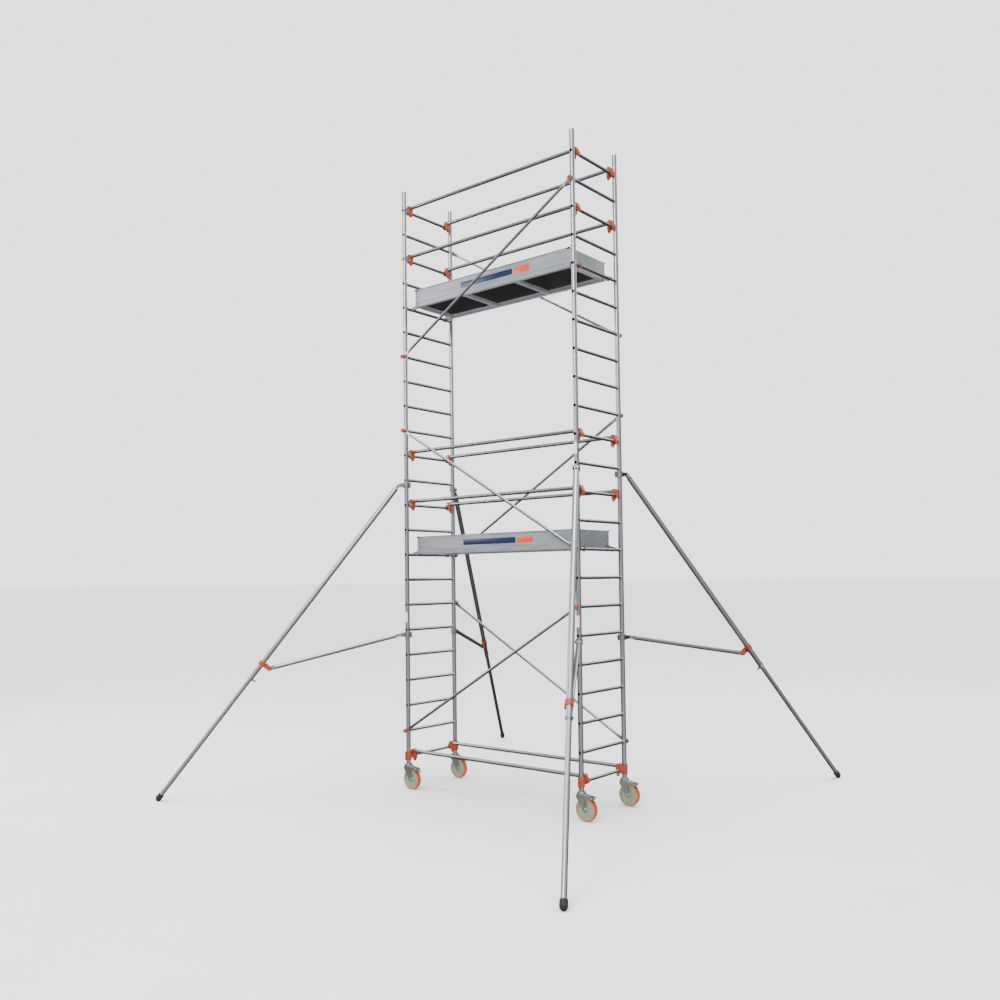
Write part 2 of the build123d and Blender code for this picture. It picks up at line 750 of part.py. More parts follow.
wind_lock_pivot = (32.0, 12.0)
one_hook = deck_hook()
one_wind_lock = jaw_plate(wind_lock_t, wind_lock_pivot, 11.0)
lock_offset = hook_t / 2 + seat_gap + wind_lock_t / 2
hooks = []
wind_locks = []
hinges = []
for name, number in deck_rungs.items():
    z = rung_z(number)
    frame = [side_beam(side, z) for side in (-1, 1)]
    frame += [end_beam(side, z) for side in (-1, 1)]
    frame += [end_filler(side_x, side_y, z) for side_x in (-1, 1) for side_y in (-1, 1)]
    frame += [cross_member(x, z) for x in (-cross_x, cross_x)]
    write_node(f"{name}_deck_frame", frame)
    write_node(f"{name}_deck_panel", [floor_panel(-cross_x + 2, end_beam_in - 2, z, 0.0, 0.0)])
    write_node(f"{name}_trapdoor", [trapdoor(-end_beam_in + 2, -cross_x - 2, z)])
    boards = [long_toe_board(side, z) for side in (-1, 1)]
    boards += [end_toe_board(side, z) for side in (-1, 1)]
    write_node(f"{name}_toe_boards", boards)
    hinges += [hinge_fixed_leaf(-deck_half_l + offset, z) for offset in hinge_from_end]
    for side_x in (-1, 1):
        for side_y in (-1, 1):
            y = side_y * (half_width - hook_inboard)
            hooks.append(placed(one_hook, end_plane(side_x, y, z)))
            if side_x != side_y:
                lock_y = y + side_y * lock_offset
                wind_locks.append(placed(one_wind_lock, end_plane(side_x, lock_y, z)))
                bolt_x = side_x * (half_bay - wind_lock_pivot[0])
                start = (bolt_x, y - side_y * hook_t / 2, z + wind_lock_pivot[1])
                end = (bolt_x, lock_y + side_y * wind_lock_t / 2, z + wind_lock_pivot[1])
                wind_locks.append(bolt(start, end, claw_bolt_d / 2, 13.0, 5.0))
write_node("deck_hooks", hooks)
write_node("wind_locks", wind_locks)
write_node("trapdoor_hinges", hinges)

# ---- casters, each in a frame with its swivel axis on Z ------------------------
wheel_z = wheel_r


def caster_stem():
    """Stem in the upright, with the fixed race and the kingpin under it."""
    with BuildPart() as stem:
        with BuildSketch(Plane.XY.offset(caster_h)):
            Circle(upright_bore_r - spigot_fit)
        extrude(amount=stem_h)
        with BuildSketch(Plane.XY.offset(caster_h - race_t)):
            Circle(race_d / 2)
        extrude(amount=race_t)
        with BuildSketch(Plane.XY.offset(bridge_low - seat_gap)):
            Circle(kingpin_d / 2)
        extrude(amount=caster_h - race_t - bridge_low + seat_gap)
        with BuildSketch(Plane.XY.offset(bridge_low - seat_gap - 7)):
            Circle(kingpin_d / 2 + 5)
        extrude(amount=7)
    return stem.part


def caster_fork():
    """Pressed fork: crown, bridge, sloping hood and two legs."""
    leg_top = bridge_low
    with BuildPart() as fork:
        with BuildSketch(Plane.XZ):
            hull_face([
                (caster_trail, wheel_z, 17),
                (-20, leg_top - 8, 18),
                (36, leg_top - 2, 12),
            ])
        extrude(amount=fork_in + fork_t, both=True)
        with BuildSketch(Plane.XZ):
            hull_face([(36, leg_top - 2, 12), (pedal_x, pedal_z, 11)])
        extrude(amount=fork_in + fork_t, both=True)
        with BuildSketch(Plane.XZ):
            with Locations((caster_trail, wheel_z)):
                Circle(axle_d / 2 + shaft_fit)
            with Locations((pedal_x, pedal_z)):
                Circle(pedal_pin_d / 2 + shaft_fit)
        extrude(amount=2 * fork_in, both=True, mode=Mode.SUBTRACT)
        with Locations((caster_trail, 0, wheel_z)):
            Box(4 * wheel_r, 2 * fork_in, 2 * (bridge_low - wheel_z), mode=Mode.SUBTRACT)
        with BuildSketch(Plane.XY.offset(bridge_low)):
            with Locations((3, 0)):
                RectangleRounded(82, 2 * (fork_in + fork_t), 10)
        extrude(amount=bridge_t)
        with BuildSketch(Plane.XY.offset(bridge_high)):
            Circle(crown_d / 2)
        extrude(amount=crown_high - bridge_high)
        with BuildSketch(Plane.XY.offset(bridge_low)):
            Circle(kingpin_d / 2 + shaft_fit)
        extrude(amount=crown_high - bridge_low, mode=Mode.SUBTRACT)
    return fork.part


def fork_pins():
    """Axle bolt and brake pivot pin, through both legs of the fork."""
    out = fork_in + fork_t
    axle = bolt(
        (caster_trail, -out, wheel_z), (caster_trail, out, wheel_z), axle_d / 2, 24.0, 8.0
    )
    pivot = bolt(
        (pedal_x, -out, pedal_z), (pedal_x, out, pedal_z), pedal_pin_d / 2, 13.0, 3.0
    )
    return [axle, pivot]


def wheel_centre():
    """Nylon centre with a web, a hub and a bore for the axle."""
    rim_r = wheel_r - tyre_t
    with BuildPart() as centre:
        with BuildSketch(Plane.XZ):
            with Locations((caster_trail, wheel_z)):
                Circle(rim_r)
        extrude(amount=wheel_w / 2, both=True)
        for side in (-1, 1):
            with BuildSketch(Plane.XZ.offset(side * wheel_w / 2)):
                with Locations((caster_trail, wheel_z)):
                    Circle(rim_r - 7)
                    Circle(hub_d / 2, mode=Mode.SUBTRACT)
            extrude(amount=-side * 11, mode=Mode.SUBTRACT)
        with BuildSketch(Plane.XZ):
            with Locations((caster_trail, wheel_z)):
                Circle(hub_d / 2)
        extrude(amount=hub_w / 2, both=True)
        with BuildSketch(Plane.XZ):
            with Locations((caster_trail, wheel_z)):
                Circle(axle_d / 2 + shaft_fit)
        extrude(amount=hub_w, both=True, mode=Mode.SUBTRACT)
    return centre.part


def wheel_tyre():
    """Bonded tyre with rounded shoulders."""
    with BuildPart() as tyre:
        with BuildSketch(Plane.XZ):
            with Locations((caster_trail, wheel_z)):
                Circle(wheel_r)
        extrude(amount=tyre_w / 2, both=True)
        fillet(tyre.edges(), 8)
        with BuildSketch(Plane.XZ):
            with Locations((caster_trail, wheel_z)):
                Circle(wheel_r - tyre_t + weld_fit)
        extrude(amount=tyre_w, both=True, mode=Mode.SUBTRACT)
    return tyre.part


def brake_pedal():
    """Double tread on a hub between the fork's legs."""
    with BuildPart() as pedal:
        with BuildSketch(Plane.XZ):
            hull_face([(pedal_x, pedal_z, 8), (pedal_x + 47, pedal_z - 22, pedal_t / 2)])
        extrude(amount=pedal_w / 2, both=True)
        with BuildSketch(Plane.XZ):
            hull_face([(pedal_x, pedal_z, 8), (pedal_x + 20, pedal_z + 14, pedal_t / 2)])
        extrude(amount=pedal_w / 2, both=True)
        with BuildSketch(Plane.XZ):
            with Locations((pedal_x, pedal_z)):
                Circle(8)
        extrude(amount=fork_in - seat_gap, both=True)
        with BuildSketch(Plane.XZ):
            with Locations((pedal_x, pedal_z)):
                Circle(pedal_pin_d / 2 + shaft_fit)
        extrude(amount=2 * fork_in, both=True, mode=Mode.SUBTRACT)
    return pedal.part


one_stem = caster_stem()
one_fork = [caster_fork()] + fork_pins()
one_wheel = [wheel_centre(), wheel_tyre()]
one_pedal = brake_pedal()
stems = []
for name, (x, y) in corners.items():
    spot = Plane(origin=(x, y, 0))
    stems.append(placed(one_stem, spot))
    write_node(f"caster_fork_{name}", [placed(piece, spot) for piece in one_fork])
    write_node(f"caster_wheel_{name}", [placed(piece, spot) for piece in one_wheel])
    write_node(f"caster_brake_{name}", [placed(one_pedal, spot)])
write_node("caster_stems", stems)

# ---- outriggers, each in a frame with its upright on Z and its leg towards +X --
leg_pivot_z = rung_z(leg_clamp_rung) - clamp_below_rung
strut_pivot_z = rung_z(strut_clamp_rung) - clamp_below_rung
tongue_half = tongue_t / 2
cheek_in = tongue_half + seat_gap
knob_x = clamp_ring_r + wing_hub_gap + wing_hub_d / 2


def clamp(z):
    """Half coupler on the upright, with a tongue for the pivot."""
    with BuildPart() as piece:
        with BuildSketch(Plane.XY.offset(z - clamp_h / 2)):
            Circle(clamp_ring_r)
            with Locations((-clamp_ring_r - 4, 0)):
                Rectangle(20, 24)
        extrude(amount=clamp_h)
        with BuildSketch(Plane.XZ):
            hull_face([(26, z, 22), (pivot_reach, z, cheek_r)])
        extrude(amount=tongue_half, both=True)
        with BuildSketch(Plane.XY.offset(z - clamp_h / 2)):
            Circle(upright_r + slide_fit)
            with Locations((-clamp_ring_r - 8, 0)):
                Rectangle(30, 5)
        extrude(amount=clamp_h, mode=Mode.SUBTRACT)
        with BuildSketch(Plane.XZ):
            with Locations((pivot_reach, z)):
                Circle(pivot_pin_d / 2 + shaft_fit)
            with Locations((knob_x, z)):
                Circle(5 + weld_fit)
        extrude(amount=clamp_h, both=True, mode=Mode.SUBTRACT)
        with Locations((-clamp_ring_r - 7, 0, z)):
            Cylinder(4 + weld_fit, 60, rotation=(90, 0, 0), mode=Mode.SUBTRACT)
    return piece.part


def wing_knob(x, z, seat, lean, wing_at):
    """Wing knob on a stud along Y, its seat at y = -seat, its wings from y = -wing_at at an angle."""
    with BuildPart() as knob:
        with BuildSketch(Plane.XZ.offset(-seat)):
            with Locations((x, z)):
                Circle(5)
        extrude(amount=2 * seat + 6)
        with BuildSketch(Plane.XZ.offset(seat + 6)):
            with Locations((x, z)):
                Circle(wing_hub_d / 2)
        extrude(amount=16)
        with BuildSketch(Plane.XZ.offset(wing_at)):
            with Locations(Location((x, z), lean)):
                SlotOverall(52, 13)
        extrude(amount=12)
    return knob.part


def forked_tube(pivot, direction, end_along, diameter, wall):
    """Tube that starts beside its pivot, with two cheeks round the pivot."""
    start = Vector(pivot[0], 0, pivot[1])
    run = Vector(direction[0], 0, direction[1])
    along = Plane(origin=start, x_dir=run, z_dir=(0, -1, 0))
    with BuildPart() as piece:
        with BuildSketch(Plane(origin=start + run * tube_start, z_dir=run)):
            Circle(diameter / 2)
        extrude(amount=end_along - tube_start)
        with BuildSketch(along):
            with Locations((tube_start / 2 + 5, 0)):
                Rectangle(tube_start + 10, 2 * cheek_r)
            Circle(cheek_r)
        extrude(amount=cheek_in + cheek_t, both=True)
        with BuildSketch(Plane(origin=start + run * (tube_start + 6), z_dir=run)):
            Circle(diameter / 2 - wall)
        extrude(amount=end_along - tube_start, mode=Mode.SUBTRACT)
        with BuildSketch(along):
            with Locations(((tube_start - 4) / 2 - cheek_r, 0)):
                Rectangle(tube_start - 4 + 2 * cheek_r, 4 * cheek_r)
        extrude(amount=cheek_in, both=True, mode=Mode.SUBTRACT)
        with BuildSketch(along):
            Circle(pivot_pin_d / 2 + shaft_fit)
        extrude(amount=diameter, both=True, mode=Mode.SUBTRACT)
    return piece.part


def pivot_bolt(x, z, half_grip):
    """Bolt through a pivot, along Y."""
    return bolt((x, -half_grip, z), (x, half_grip, z), pivot_pin_d / 2, 19.0, 7.0)


def outrigger(name, side_x, side_y, angle, reach):
    """Clamps, leg, coupler, strut and inner leg of one outrigger."""
    foot_r = foot_d / 2
    run_x = reach - pivot_reach
    run_z = leg_pivot_z - foot_r
    leg_total = sqrt(run_x ** 2 + run_z ** 2)
    lean = (run_x / leg_total, -run_z / leg_total)
    inward = (lean[1], -lean[0])
    drop = leg_pivot_z - strut_pivot_z
    half = -drop * lean[1]
    rest = coupler_arm ** 2 + drop ** 2 - 2 * drop * coupler_arm * lean[0] - strut_length ** 2
    slide = half + sqrt(half ** 2 - rest)
    on_leg = (pivot_reach + slide * lean[0], leg_pivot_z + slide * lean[1])
    joint = (on_leg[0] + coupler_arm * inward[0], on_leg[1] + coupler_arm * inward[1])
    strut_run = unit(joint[0] - pivot_reach, joint[1] - strut_pivot_z)
    leg_axis = Vector(lean[0], 0, lean[1])
    top = Vector(pivot_reach, 0, leg_pivot_z)

    x = side_x * half_bay
    y = side_y * half_width
    out = (cos(radians(angle)), sin(radians(angle)), 0)
    spot = Plane(origin=(x, y, 0), x_dir=out, z_dir=(0, 0, 1))
    grip = cheek_in + cheek_t

    clamps = [clamp(z) for z in (leg_pivot_z, strut_pivot_z)]
    wing_at = clamp_ring_r - wing_in_ring
    clamps += [
        wing_knob(knob_x, z, tongue_half, 30, wing_at) for z in (leg_pivot_z, strut_pivot_z)
    ]
    ear_x = -clamp_ring_r - 7
    clamps += [
        bolt((ear_x, -12, z), (ear_x, 12, z), 4, 13.0, 5.0) for z in (leg_pivot_z, strut_pivot_z)
    ]

    outer = [forked_tube((pivot_reach, leg_pivot_z), lean, outer_leg_l, outer_leg_d, outer_leg_wall)]
    outer.append(pivot_bolt(pivot_reach, leg_pivot_z, grip))
    collar_r = outer_leg_d / 2 + end_collar_t
    collar_at = Plane(origin=top + leg_axis * (outer_leg_l - end_collar_l - 8), z_dir=leg_axis)
    with BuildPart() as end_collar:
        with BuildSketch(collar_at):
            Circle(collar_r)
            Circle(outer_leg_d / 2 + weld_fit, mode=Mode.SUBTRACT)
        extrude(amount=end_collar_l)
    outer.append(end_collar.part)
    pin_at = top + leg_axis * (outer_leg_l - end_collar_l / 2 - 8)
    pin_foot = pin_at + Vector(inward[0], 0, inward[1]) * (collar_r + 0.2)
    pin_head = pin_at + Vector(inward[0], 0, inward[1]) * (collar_r + 26)
    outer.append(round_bar(tuple(pin_foot), tuple(pin_head), 6))

    ring_r = outer_leg_d / 2 + slide_fit
    ring_plane = Plane(origin=top + leg_axis * (slide - coupler_l / 2), z_dir=leg_axis)
    strut_tongue_half = tongue_half - 1
    coupler_in = strut_tongue_half + seat_gap
    with BuildPart() as coupler:
        with BuildSketch(Plane.XZ):
            hull_face([(*on_leg, coupler_l / 2), (*joint, coupler_end_r)])
        extrude(amount=coupler_in + coupler_cheek_t, both=True)
        with BuildSketch(Plane.XZ):
            away = outer_leg_d / 2 + coupler_wall + 6
            slot_mid = (on_leg[0] + (away + 60) * inward[0], on_leg[1] + (away + 60) * inward[1])
            with Locations(Location(slot_mid, degrees(atan2(inward[1], inward[0])))):
                Rectangle(120, 4 * coupler_end_r)
        extrude(amount=coupler_in, both=True, mode=Mode.SUBTRACT)
        with BuildSketch(ring_plane):
            Circle(ring_r + coupler_wall)
        extrude(amount=coupler_l)
        with BuildSketch(ring_plane):
            Circle(ring_r)
        extrude(amount=coupler_l, both=True, mode=Mode.SUBTRACT)
        with BuildSketch(Plane.XZ):
            with Locations(joint):
                Circle(pivot_pin_d / 2 + weld_fit)
            with Locations((joint[0] - 45 * inward[0], joint[1] - 45 * inward[1])):
                Circle(5 + weld_fit)
        extrude(amount=outer_leg_d, both=True, mode=Mode.SUBTRACT)
    coupler_grip = coupler_in + coupler_cheek_t
    coupler_pieces = [coupler.part, pivot_bolt(*joint, coupler_grip)]
    knob_at = (joint[0] - 45 * inward[0], joint[1] - 45 * inward[1])
    along_leg = degrees(atan2(lean[1], lean[0]))
    coupler_pieces.append(
        wing_knob(*knob_at, coupler_grip, along_leg, coupler_grip + wing_above_seat)
    )

    strut_axis = Vector(strut_run[0], 0, strut_run[1])
    hinge = Vector(pivot_reach, 0, strut_pivot_z)
    along = Plane(origin=hinge, x_dir=strut_axis, z_dir=(0, -1, 0))
    tongue_from = strut_length - tube_start - 25
    strut_tube = forked_tube(
        (pivot_reach, strut_pivot_z), strut_run, strut_length - tube_start - 10, strut_d, strut_wall
    )
    with BuildPart() as strut:
        add(strut_tube)
        with BuildSketch(along):
            with Locations(((tongue_from + strut_length) / 2, 0)):
                Rectangle(strut_length - tongue_from, 2 * (coupler_end_r - 1))
            with Locations((strut_length, 0)):
                Circle(coupler_end_r - 1)
            with Locations((strut_length, 0)):
                Circle(pivot_pin_d / 2 + open_pivot_play, mode=Mode.SUBTRACT)
        extrude(amount=strut_tongue_half, both=True)
    struts = [strut.part, pivot_bolt(pivot_reach, strut_pivot_z, grip)]

    inner_start = leg_total - inner_leg_l
    start = top + leg_axis * inner_start
    end = top + leg_axis * (leg_total - 6)
    inner = [round_tube(tuple(start), tuple(end), inner_leg_d, inner_leg_wall)]
    foot_plane = Plane(origin=top + leg_axis * (leg_total - foot_l), z_dir=leg_axis)
    with BuildPart() as foot:
        with BuildSketch(foot_plane):
            Circle(foot_r)
        extrude(amount=foot_l)
        with Locations(tuple(top + leg_axis * leg_total)):
            Sphere(foot_r)
        with BuildSketch(foot_plane):
            Circle(inner_leg_d / 2 + weld_fit)
        extrude(amount=foot_l - 6 + weld_fit, mode=Mode.SUBTRACT)
    inner.append(foot.part)

    groups = {
        "clamps": clamps,
        "outer_leg": outer,
        "coupler": coupler_pieces,
        "strut": struts,
        "inner_leg": inner,
    }
    for piece, solids in groups.items():
        write_node(f"outrigger_{piece}_{name}", [placed(solid, spot) for solid in solids])


for name, (side_x, side_y, angle, reach) in outriggers.items():
    outrigger(name, side_x, side_y, angle, reach)
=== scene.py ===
import json
from math import cos, pi, radians, sin, sqrt

import bmesh
import bpy
import numpy as np
from mathutils import Matrix, Vector


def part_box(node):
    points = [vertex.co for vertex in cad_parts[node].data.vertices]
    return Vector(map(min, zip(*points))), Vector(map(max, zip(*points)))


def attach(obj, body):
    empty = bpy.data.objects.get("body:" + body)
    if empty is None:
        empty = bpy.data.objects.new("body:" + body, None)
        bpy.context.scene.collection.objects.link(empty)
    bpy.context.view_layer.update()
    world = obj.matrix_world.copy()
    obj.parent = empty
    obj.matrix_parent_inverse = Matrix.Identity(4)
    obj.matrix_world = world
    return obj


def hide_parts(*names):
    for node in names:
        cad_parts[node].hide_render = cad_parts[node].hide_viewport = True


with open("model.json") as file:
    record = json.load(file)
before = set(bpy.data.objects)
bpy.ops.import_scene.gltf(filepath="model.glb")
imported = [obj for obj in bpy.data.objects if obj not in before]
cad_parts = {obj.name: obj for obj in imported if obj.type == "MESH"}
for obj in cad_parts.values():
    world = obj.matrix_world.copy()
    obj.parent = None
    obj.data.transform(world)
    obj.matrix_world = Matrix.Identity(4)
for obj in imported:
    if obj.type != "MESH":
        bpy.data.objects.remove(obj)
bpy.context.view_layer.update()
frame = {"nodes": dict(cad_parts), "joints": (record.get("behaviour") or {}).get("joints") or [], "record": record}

# Mobile aluminium tower scaffold. Metres, in the CAD frame: origin on the floor in the
# middle of the four uprights, +X along the bay, +Y to the back, +Z up.

# ---- sizes --------------------------------------------------------------------
mm = 0.001
upright_r = 22.5 * mm
upright_wall = 2.5 * mm
rung_r = 15 * mm
rail_r = 17.5 * mm
tube_wall = 2 * mm
rung_pitch = 250 * mm
rung_count = 22
first_rung_up = 329 * mm          # first rung above the uprights' feet
base_collar_up = 79 * mm          # base rails above the uprights' feet
brace_r = 14 * mm

outer_leg_r = 25 * mm
outer_leg_wall = 3.5 * mm
outer_leg_l = 2400 * mm
end_collar_r = outer_leg_r + 4 * mm
inner_leg_r = 21 * mm
inner_leg_l = 1900 * mm
strut_r = 20 * mm
strut_l = 1305 * mm
tongue_l = 49 * mm                # between the centres of the rounded ends of a strut's tongue
tube_start = 45 * mm              # start of a leg's tube from its pivot
bolt_grip = 15 * mm               # half of a pivot bolt's grip
foot_r = 29 * mm
foot_l = 42 * mm

board_face_y = 281.4 * mm         # outer face of the toe boards
stripe_half_h = 27 * mm

joints = {joint["name"]: joint for joint in frame["joints"]}
quarters = ("left_front", "right_front", "right_back", "left_back")
corner = {q: np.array(joints["caster_swivel_" + q]["pos_m"]) for q in quarters}
half_bay, half_width = corner["right_back"][:2]
feet_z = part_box("base_frames")[0].z
base_rail_z = feet_z + base_collar_up


def rung_z(number):
    """Height of a rung's axis, counted from 1 at the bottom."""
    return feet_z + first_rung_up + (number - 1) * rung_pitch


# ---- shapes -------------------------------------------------------------------
# Each is (points, faces, grain). A face has four points, and a triangle repeats its last.
# Grain is a point's place in its tube's own frame, where Z runs along the metal's draw.
def grid_faces(rows, columns, wrap_rows=False, wrap_columns=True):
    """Quads of a grid of points numbered row by row. A wrapped side joins last to first."""
    r = np.arange(rows if wrap_rows else rows - 1)
    c = np.arange(columns if wrap_columns else columns - 1)
    r, c = (a.ravel() for a in np.meshgrid(r, c, indexing="ij"))
    r1 = (r + 1) % rows
    c1 = (c + 1) % columns
    return np.stack([r * columns + c, r * columns + c1, r1 * columns + c1, r1 * columns + c], 1)


def cells(points):
    """The cell of 4 thousandths of a millimetre that each point lies in. Points in one cell
    count as one, and the shift keeps round sizes off the cells' borders."""
    return np.floor(points / 4e-6 + 0.377).astype(np.int64)


def closed(points, faces, grain=None):
    """Merge points that coincide and turn the faces outward: the sum over all triangles of
    a . (b x c) is six times the volume, so a negative sum means that they point inward."""
    grain = points if grain is None else grain
    _, first, index = np.unique(cells(points), axis=0, return_index=True, return_inverse=True)
    a, b, c, d = (points[faces[:, k]] for k in range(4))
    if (np.cross(b, c) * a).sum() + (np.cross(c, d) * a).sum() < 0:
        faces = faces[:, [0, 3, 2, 1]]
    faces = index.ravel()[faces]
    # a quad with two neighbouring points in one place becomes a triangle
    for i, j, order in ((0, 1, [0, 2, 3, 3]), (1, 2, [0, 1, 3, 3]), (3, 0, [0, 1, 2, 2])):
        same = faces[:, i] == faces[:, j]
        faces[same] = faces[same][:, order]
    a, b, c, d = faces.T
    faces = faces[(a != b) & (b != c) & (a != c)]
    return points[first], faces, grain[first]


def joined(shapes):
    """Several shapes as one. Their points stay apart."""
    starts = np.cumsum([0] + [len(s[0]) for s in shapes[:-1]])
    return (
        np.concatenate([s[0] for s in shapes]),
        np.concatenate([s[1] + start for s, start in zip(shapes, starts)]),
        np.concatenate([s[2] for s in shapes]),
    )


def stand(origin, x_axis, z_axis):
    """Matrix that puts local X and Z on two directions, and local Y at right angles to both."""
    z = np.array(z_axis, float) / np.linalg.norm(z_axis)
    x = np.array(x_axis, float)
    x = x - (x @ z) * z
    x = x / np.linalg.norm(x)
    place = np.eye(4)
    place[:3, 0], place[:3, 1], place[:3, 2], place[:3, 3] = x, np.cross(z, x), z, origin
    return place


def placed(local, place):
    """Points of a local frame, carried by its matrix."""
    return local @ place[:3, :3].T + place[:3, 3]


def own_grain(local, spot):
    """Grain of one tube: its local points shifted by 3 m times the sine of 97 times its
    place, so that no two tubes show the same streaks."""
    return local + np.sin(spot * 97) * 3


def lathe(profile, foot, axis, ring=False, turns=40, flutes=0, flute_depth=0.0):
    """Surface of revolution: at angle a, a profile point (r, h) lies at foot + h * axis
    + r * (cos a * e1 + sin a * e2), where r is scaled by 1 + depth * cos(flutes * a).
    A ring's profile closes on itself, any other starts and ends on the axis."""
    profile = np.array(profile, float)
    angle = np.linspace(0, 2 * pi, turns, endpoint=False)
    near_x = abs(np.dot(axis, (1, 0, 0))) >= 0.7 * np.linalg.norm(axis)
    r = profile[:, :1] * (1 + flute_depth * np.cos(flutes * angle))
    h = profile[:, 1:] + 0 * angle
    local = np.stack([r * np.cos(angle), r * np.sin(angle), h], -1).reshape(-1, 3)
    points = placed(local, stand(foot, (0, 1, 0) if near_x else (1, 0, 0), axis))
    faces = grid_faces(len(profile), turns, wrap_rows=ring)
    return closed(points, faces, own_grain(local, points[:1]))


def tube_profile(radius, wall, length, edge):
    """Outline of a tube's wall with its four rims bevelled."""
    bore = radius - wall
    return [(radius - edge, 0), (radius, edge), (radius, length - edge), (radius - edge, length),
            (bore + edge, length), (bore, length - edge), (bore, edge), (bore + edge, 0)]


def tube(start, end, radius, wall=tube_wall, turns=36):
    """Straight tube between two points: the outline of its wall turned round its axis."""
    start = np.array(start, float)
    run = np.array(end, float) - start
    profile = tube_profile(radius, wall, np.linalg.norm(run), 0.4 * mm)
    return lathe(profile, start, run, ring=True, turns=turns)


def bar(start, end, radius, edge=0.5 * mm, turns=32):
    """Straight solid bar between two points: half its outline, with both rims bevelled,
    turned round its axis."""
    start = np.array(start, float)
    run = np.array(end, float) - start
    length = np.linalg.norm(run)
    profile = [(0, 0), (radius - edge, 0), (radius, edge), (radius, length - edge),
               (radius - edge, length), (0, length)]
    return lathe(profile, start, run, turns=turns)


def slab(discs, half, edge, place, turns=96):
    """Plate with its outline pulled tight round discs (x, y, radius): in each direction it
    reaches as far as the furthest disc does. Its rim is rounded: at angle t the discs have
    shrunk by edge * (1 - cos t) and the height is half - edge * (1 - sin t)."""
    # the directions start a little off the axes, so that no two discs tie as the furthest
    angle = np.linspace(0, 2 * pi, turns, endpoint=False) + 0.01
    way = np.stack([np.cos(angle), np.sin(angle)], 1)
    centres = np.array([d[:2] for d in discs], float)
    radii = np.array([d[2] for d in discs], float)
    furthest = (way @ centres.T + radii).argmax(1)
    rim = np.radians([0, 30, 60, 90])
    loops = [
        (centres[furthest] + (radii[furthest] - edge * (1 - cos(t)))[:, None] * way,
         half - edge * (1 - sin(t)))
        for t in rim
    ]
    middle = np.tile(centres.mean(0), (turns, 1))
    rows = [(middle, -half)] + [(loop, -z) for loop, z in loops[::-1]] + loops + [(middle, half)]
    local = np.concatenate([np.column_stack([loop, np.full(turns, z)]) for loop, z in rows])
    return closed(placed(local, place), grid_faces(len(rows), turns))


def block(low, high, edge):
    """Box with rounded edges between two corners, a slab round a disc at each corner."""
    low = np.array(low, float)
    high = np.array(high, float)
    x, y, z = (high - low) / 2
    discs = [(sx * (x - edge), sy * (y - edge), edge) for sx in (-1, 1) for sy in (-1, 1)]
    # the rim's rounding stays just under the discs' radius, so that none shrinks to a point
    return slab(discs, z, edge * 0.999, stand((low + high) / 2, (1, 0, 0), (0, 0, 1)), turns=24)


def wire(path, radius, normal, sides=10):
    """Round wire along a flat path: at each point the ring is path + radius * (cos a * n
    + sin a * (n x t)), with n the path's normal and t its direction. Its ends are closed."""
    path = np.array(path, float)
    normal = np.array(normal, float) / np.linalg.norm(normal)
    along = np.gradient(path, axis=0)
    along /= np.linalg.norm(along, axis=1)[:, None]
    angle = np.linspace(0, 2 * pi, sides, endpoint=False)[:, None, None]
    around = np.cos(angle) * normal + np.sin(angle) * np.cross(normal, along)
    rings = (path + radius * around).transpose(1, 0, 2)
    first, last = (np.tile(end, (1, sides, 1)) for end in (path[0], path[-1]))
    rings = np.concatenate([first, rings, last])
    return closed(rings.reshape(-1, 3), grid_faces(len(rings), sides))


def hex_bolt(start, end, radius, head_w, head_t):
    """Bolt between two points: a bar, and outside each end a chamfered hexagon, which is a
    lathe of six turns whose corners lie at head_w / sqrt 3."""
    start = np.array(start, float)
    end = np.array(end, float)
    way = (end - start) / np.linalg.norm(end - start)
    corner_r = head_w / sqrt(3)
    head = [(0, 0), (corner_r, 0), (corner_r, 0.8 * head_t), (0.86 * corner_r, head_t), (0, head_t)]
    return [
        bar(start, end, radius, turns=20),
        lathe(head, end, way, turns=6),
        lathe(head, start, -way, turns=6),
    ]


def open_edges(points, faces):
    """Edges that only one face of a surface has, once its points are merged."""
    index = np.unique(cells(points), axis=0, return_inverse=True)[1].ravel()
    pairs = np.concatenate([faces[:, [k, (k + 1) % 4]] for k in range(4)])
    merged = np.sort(index[pairs], axis=1)
    keep = merged[:, 0] != merged[:, 1]
    _, where, count = np.unique(merged[keep], axis=0, return_inverse=True, return_counts=True)
    return pairs[keep][count[where.ravel()] == 1]


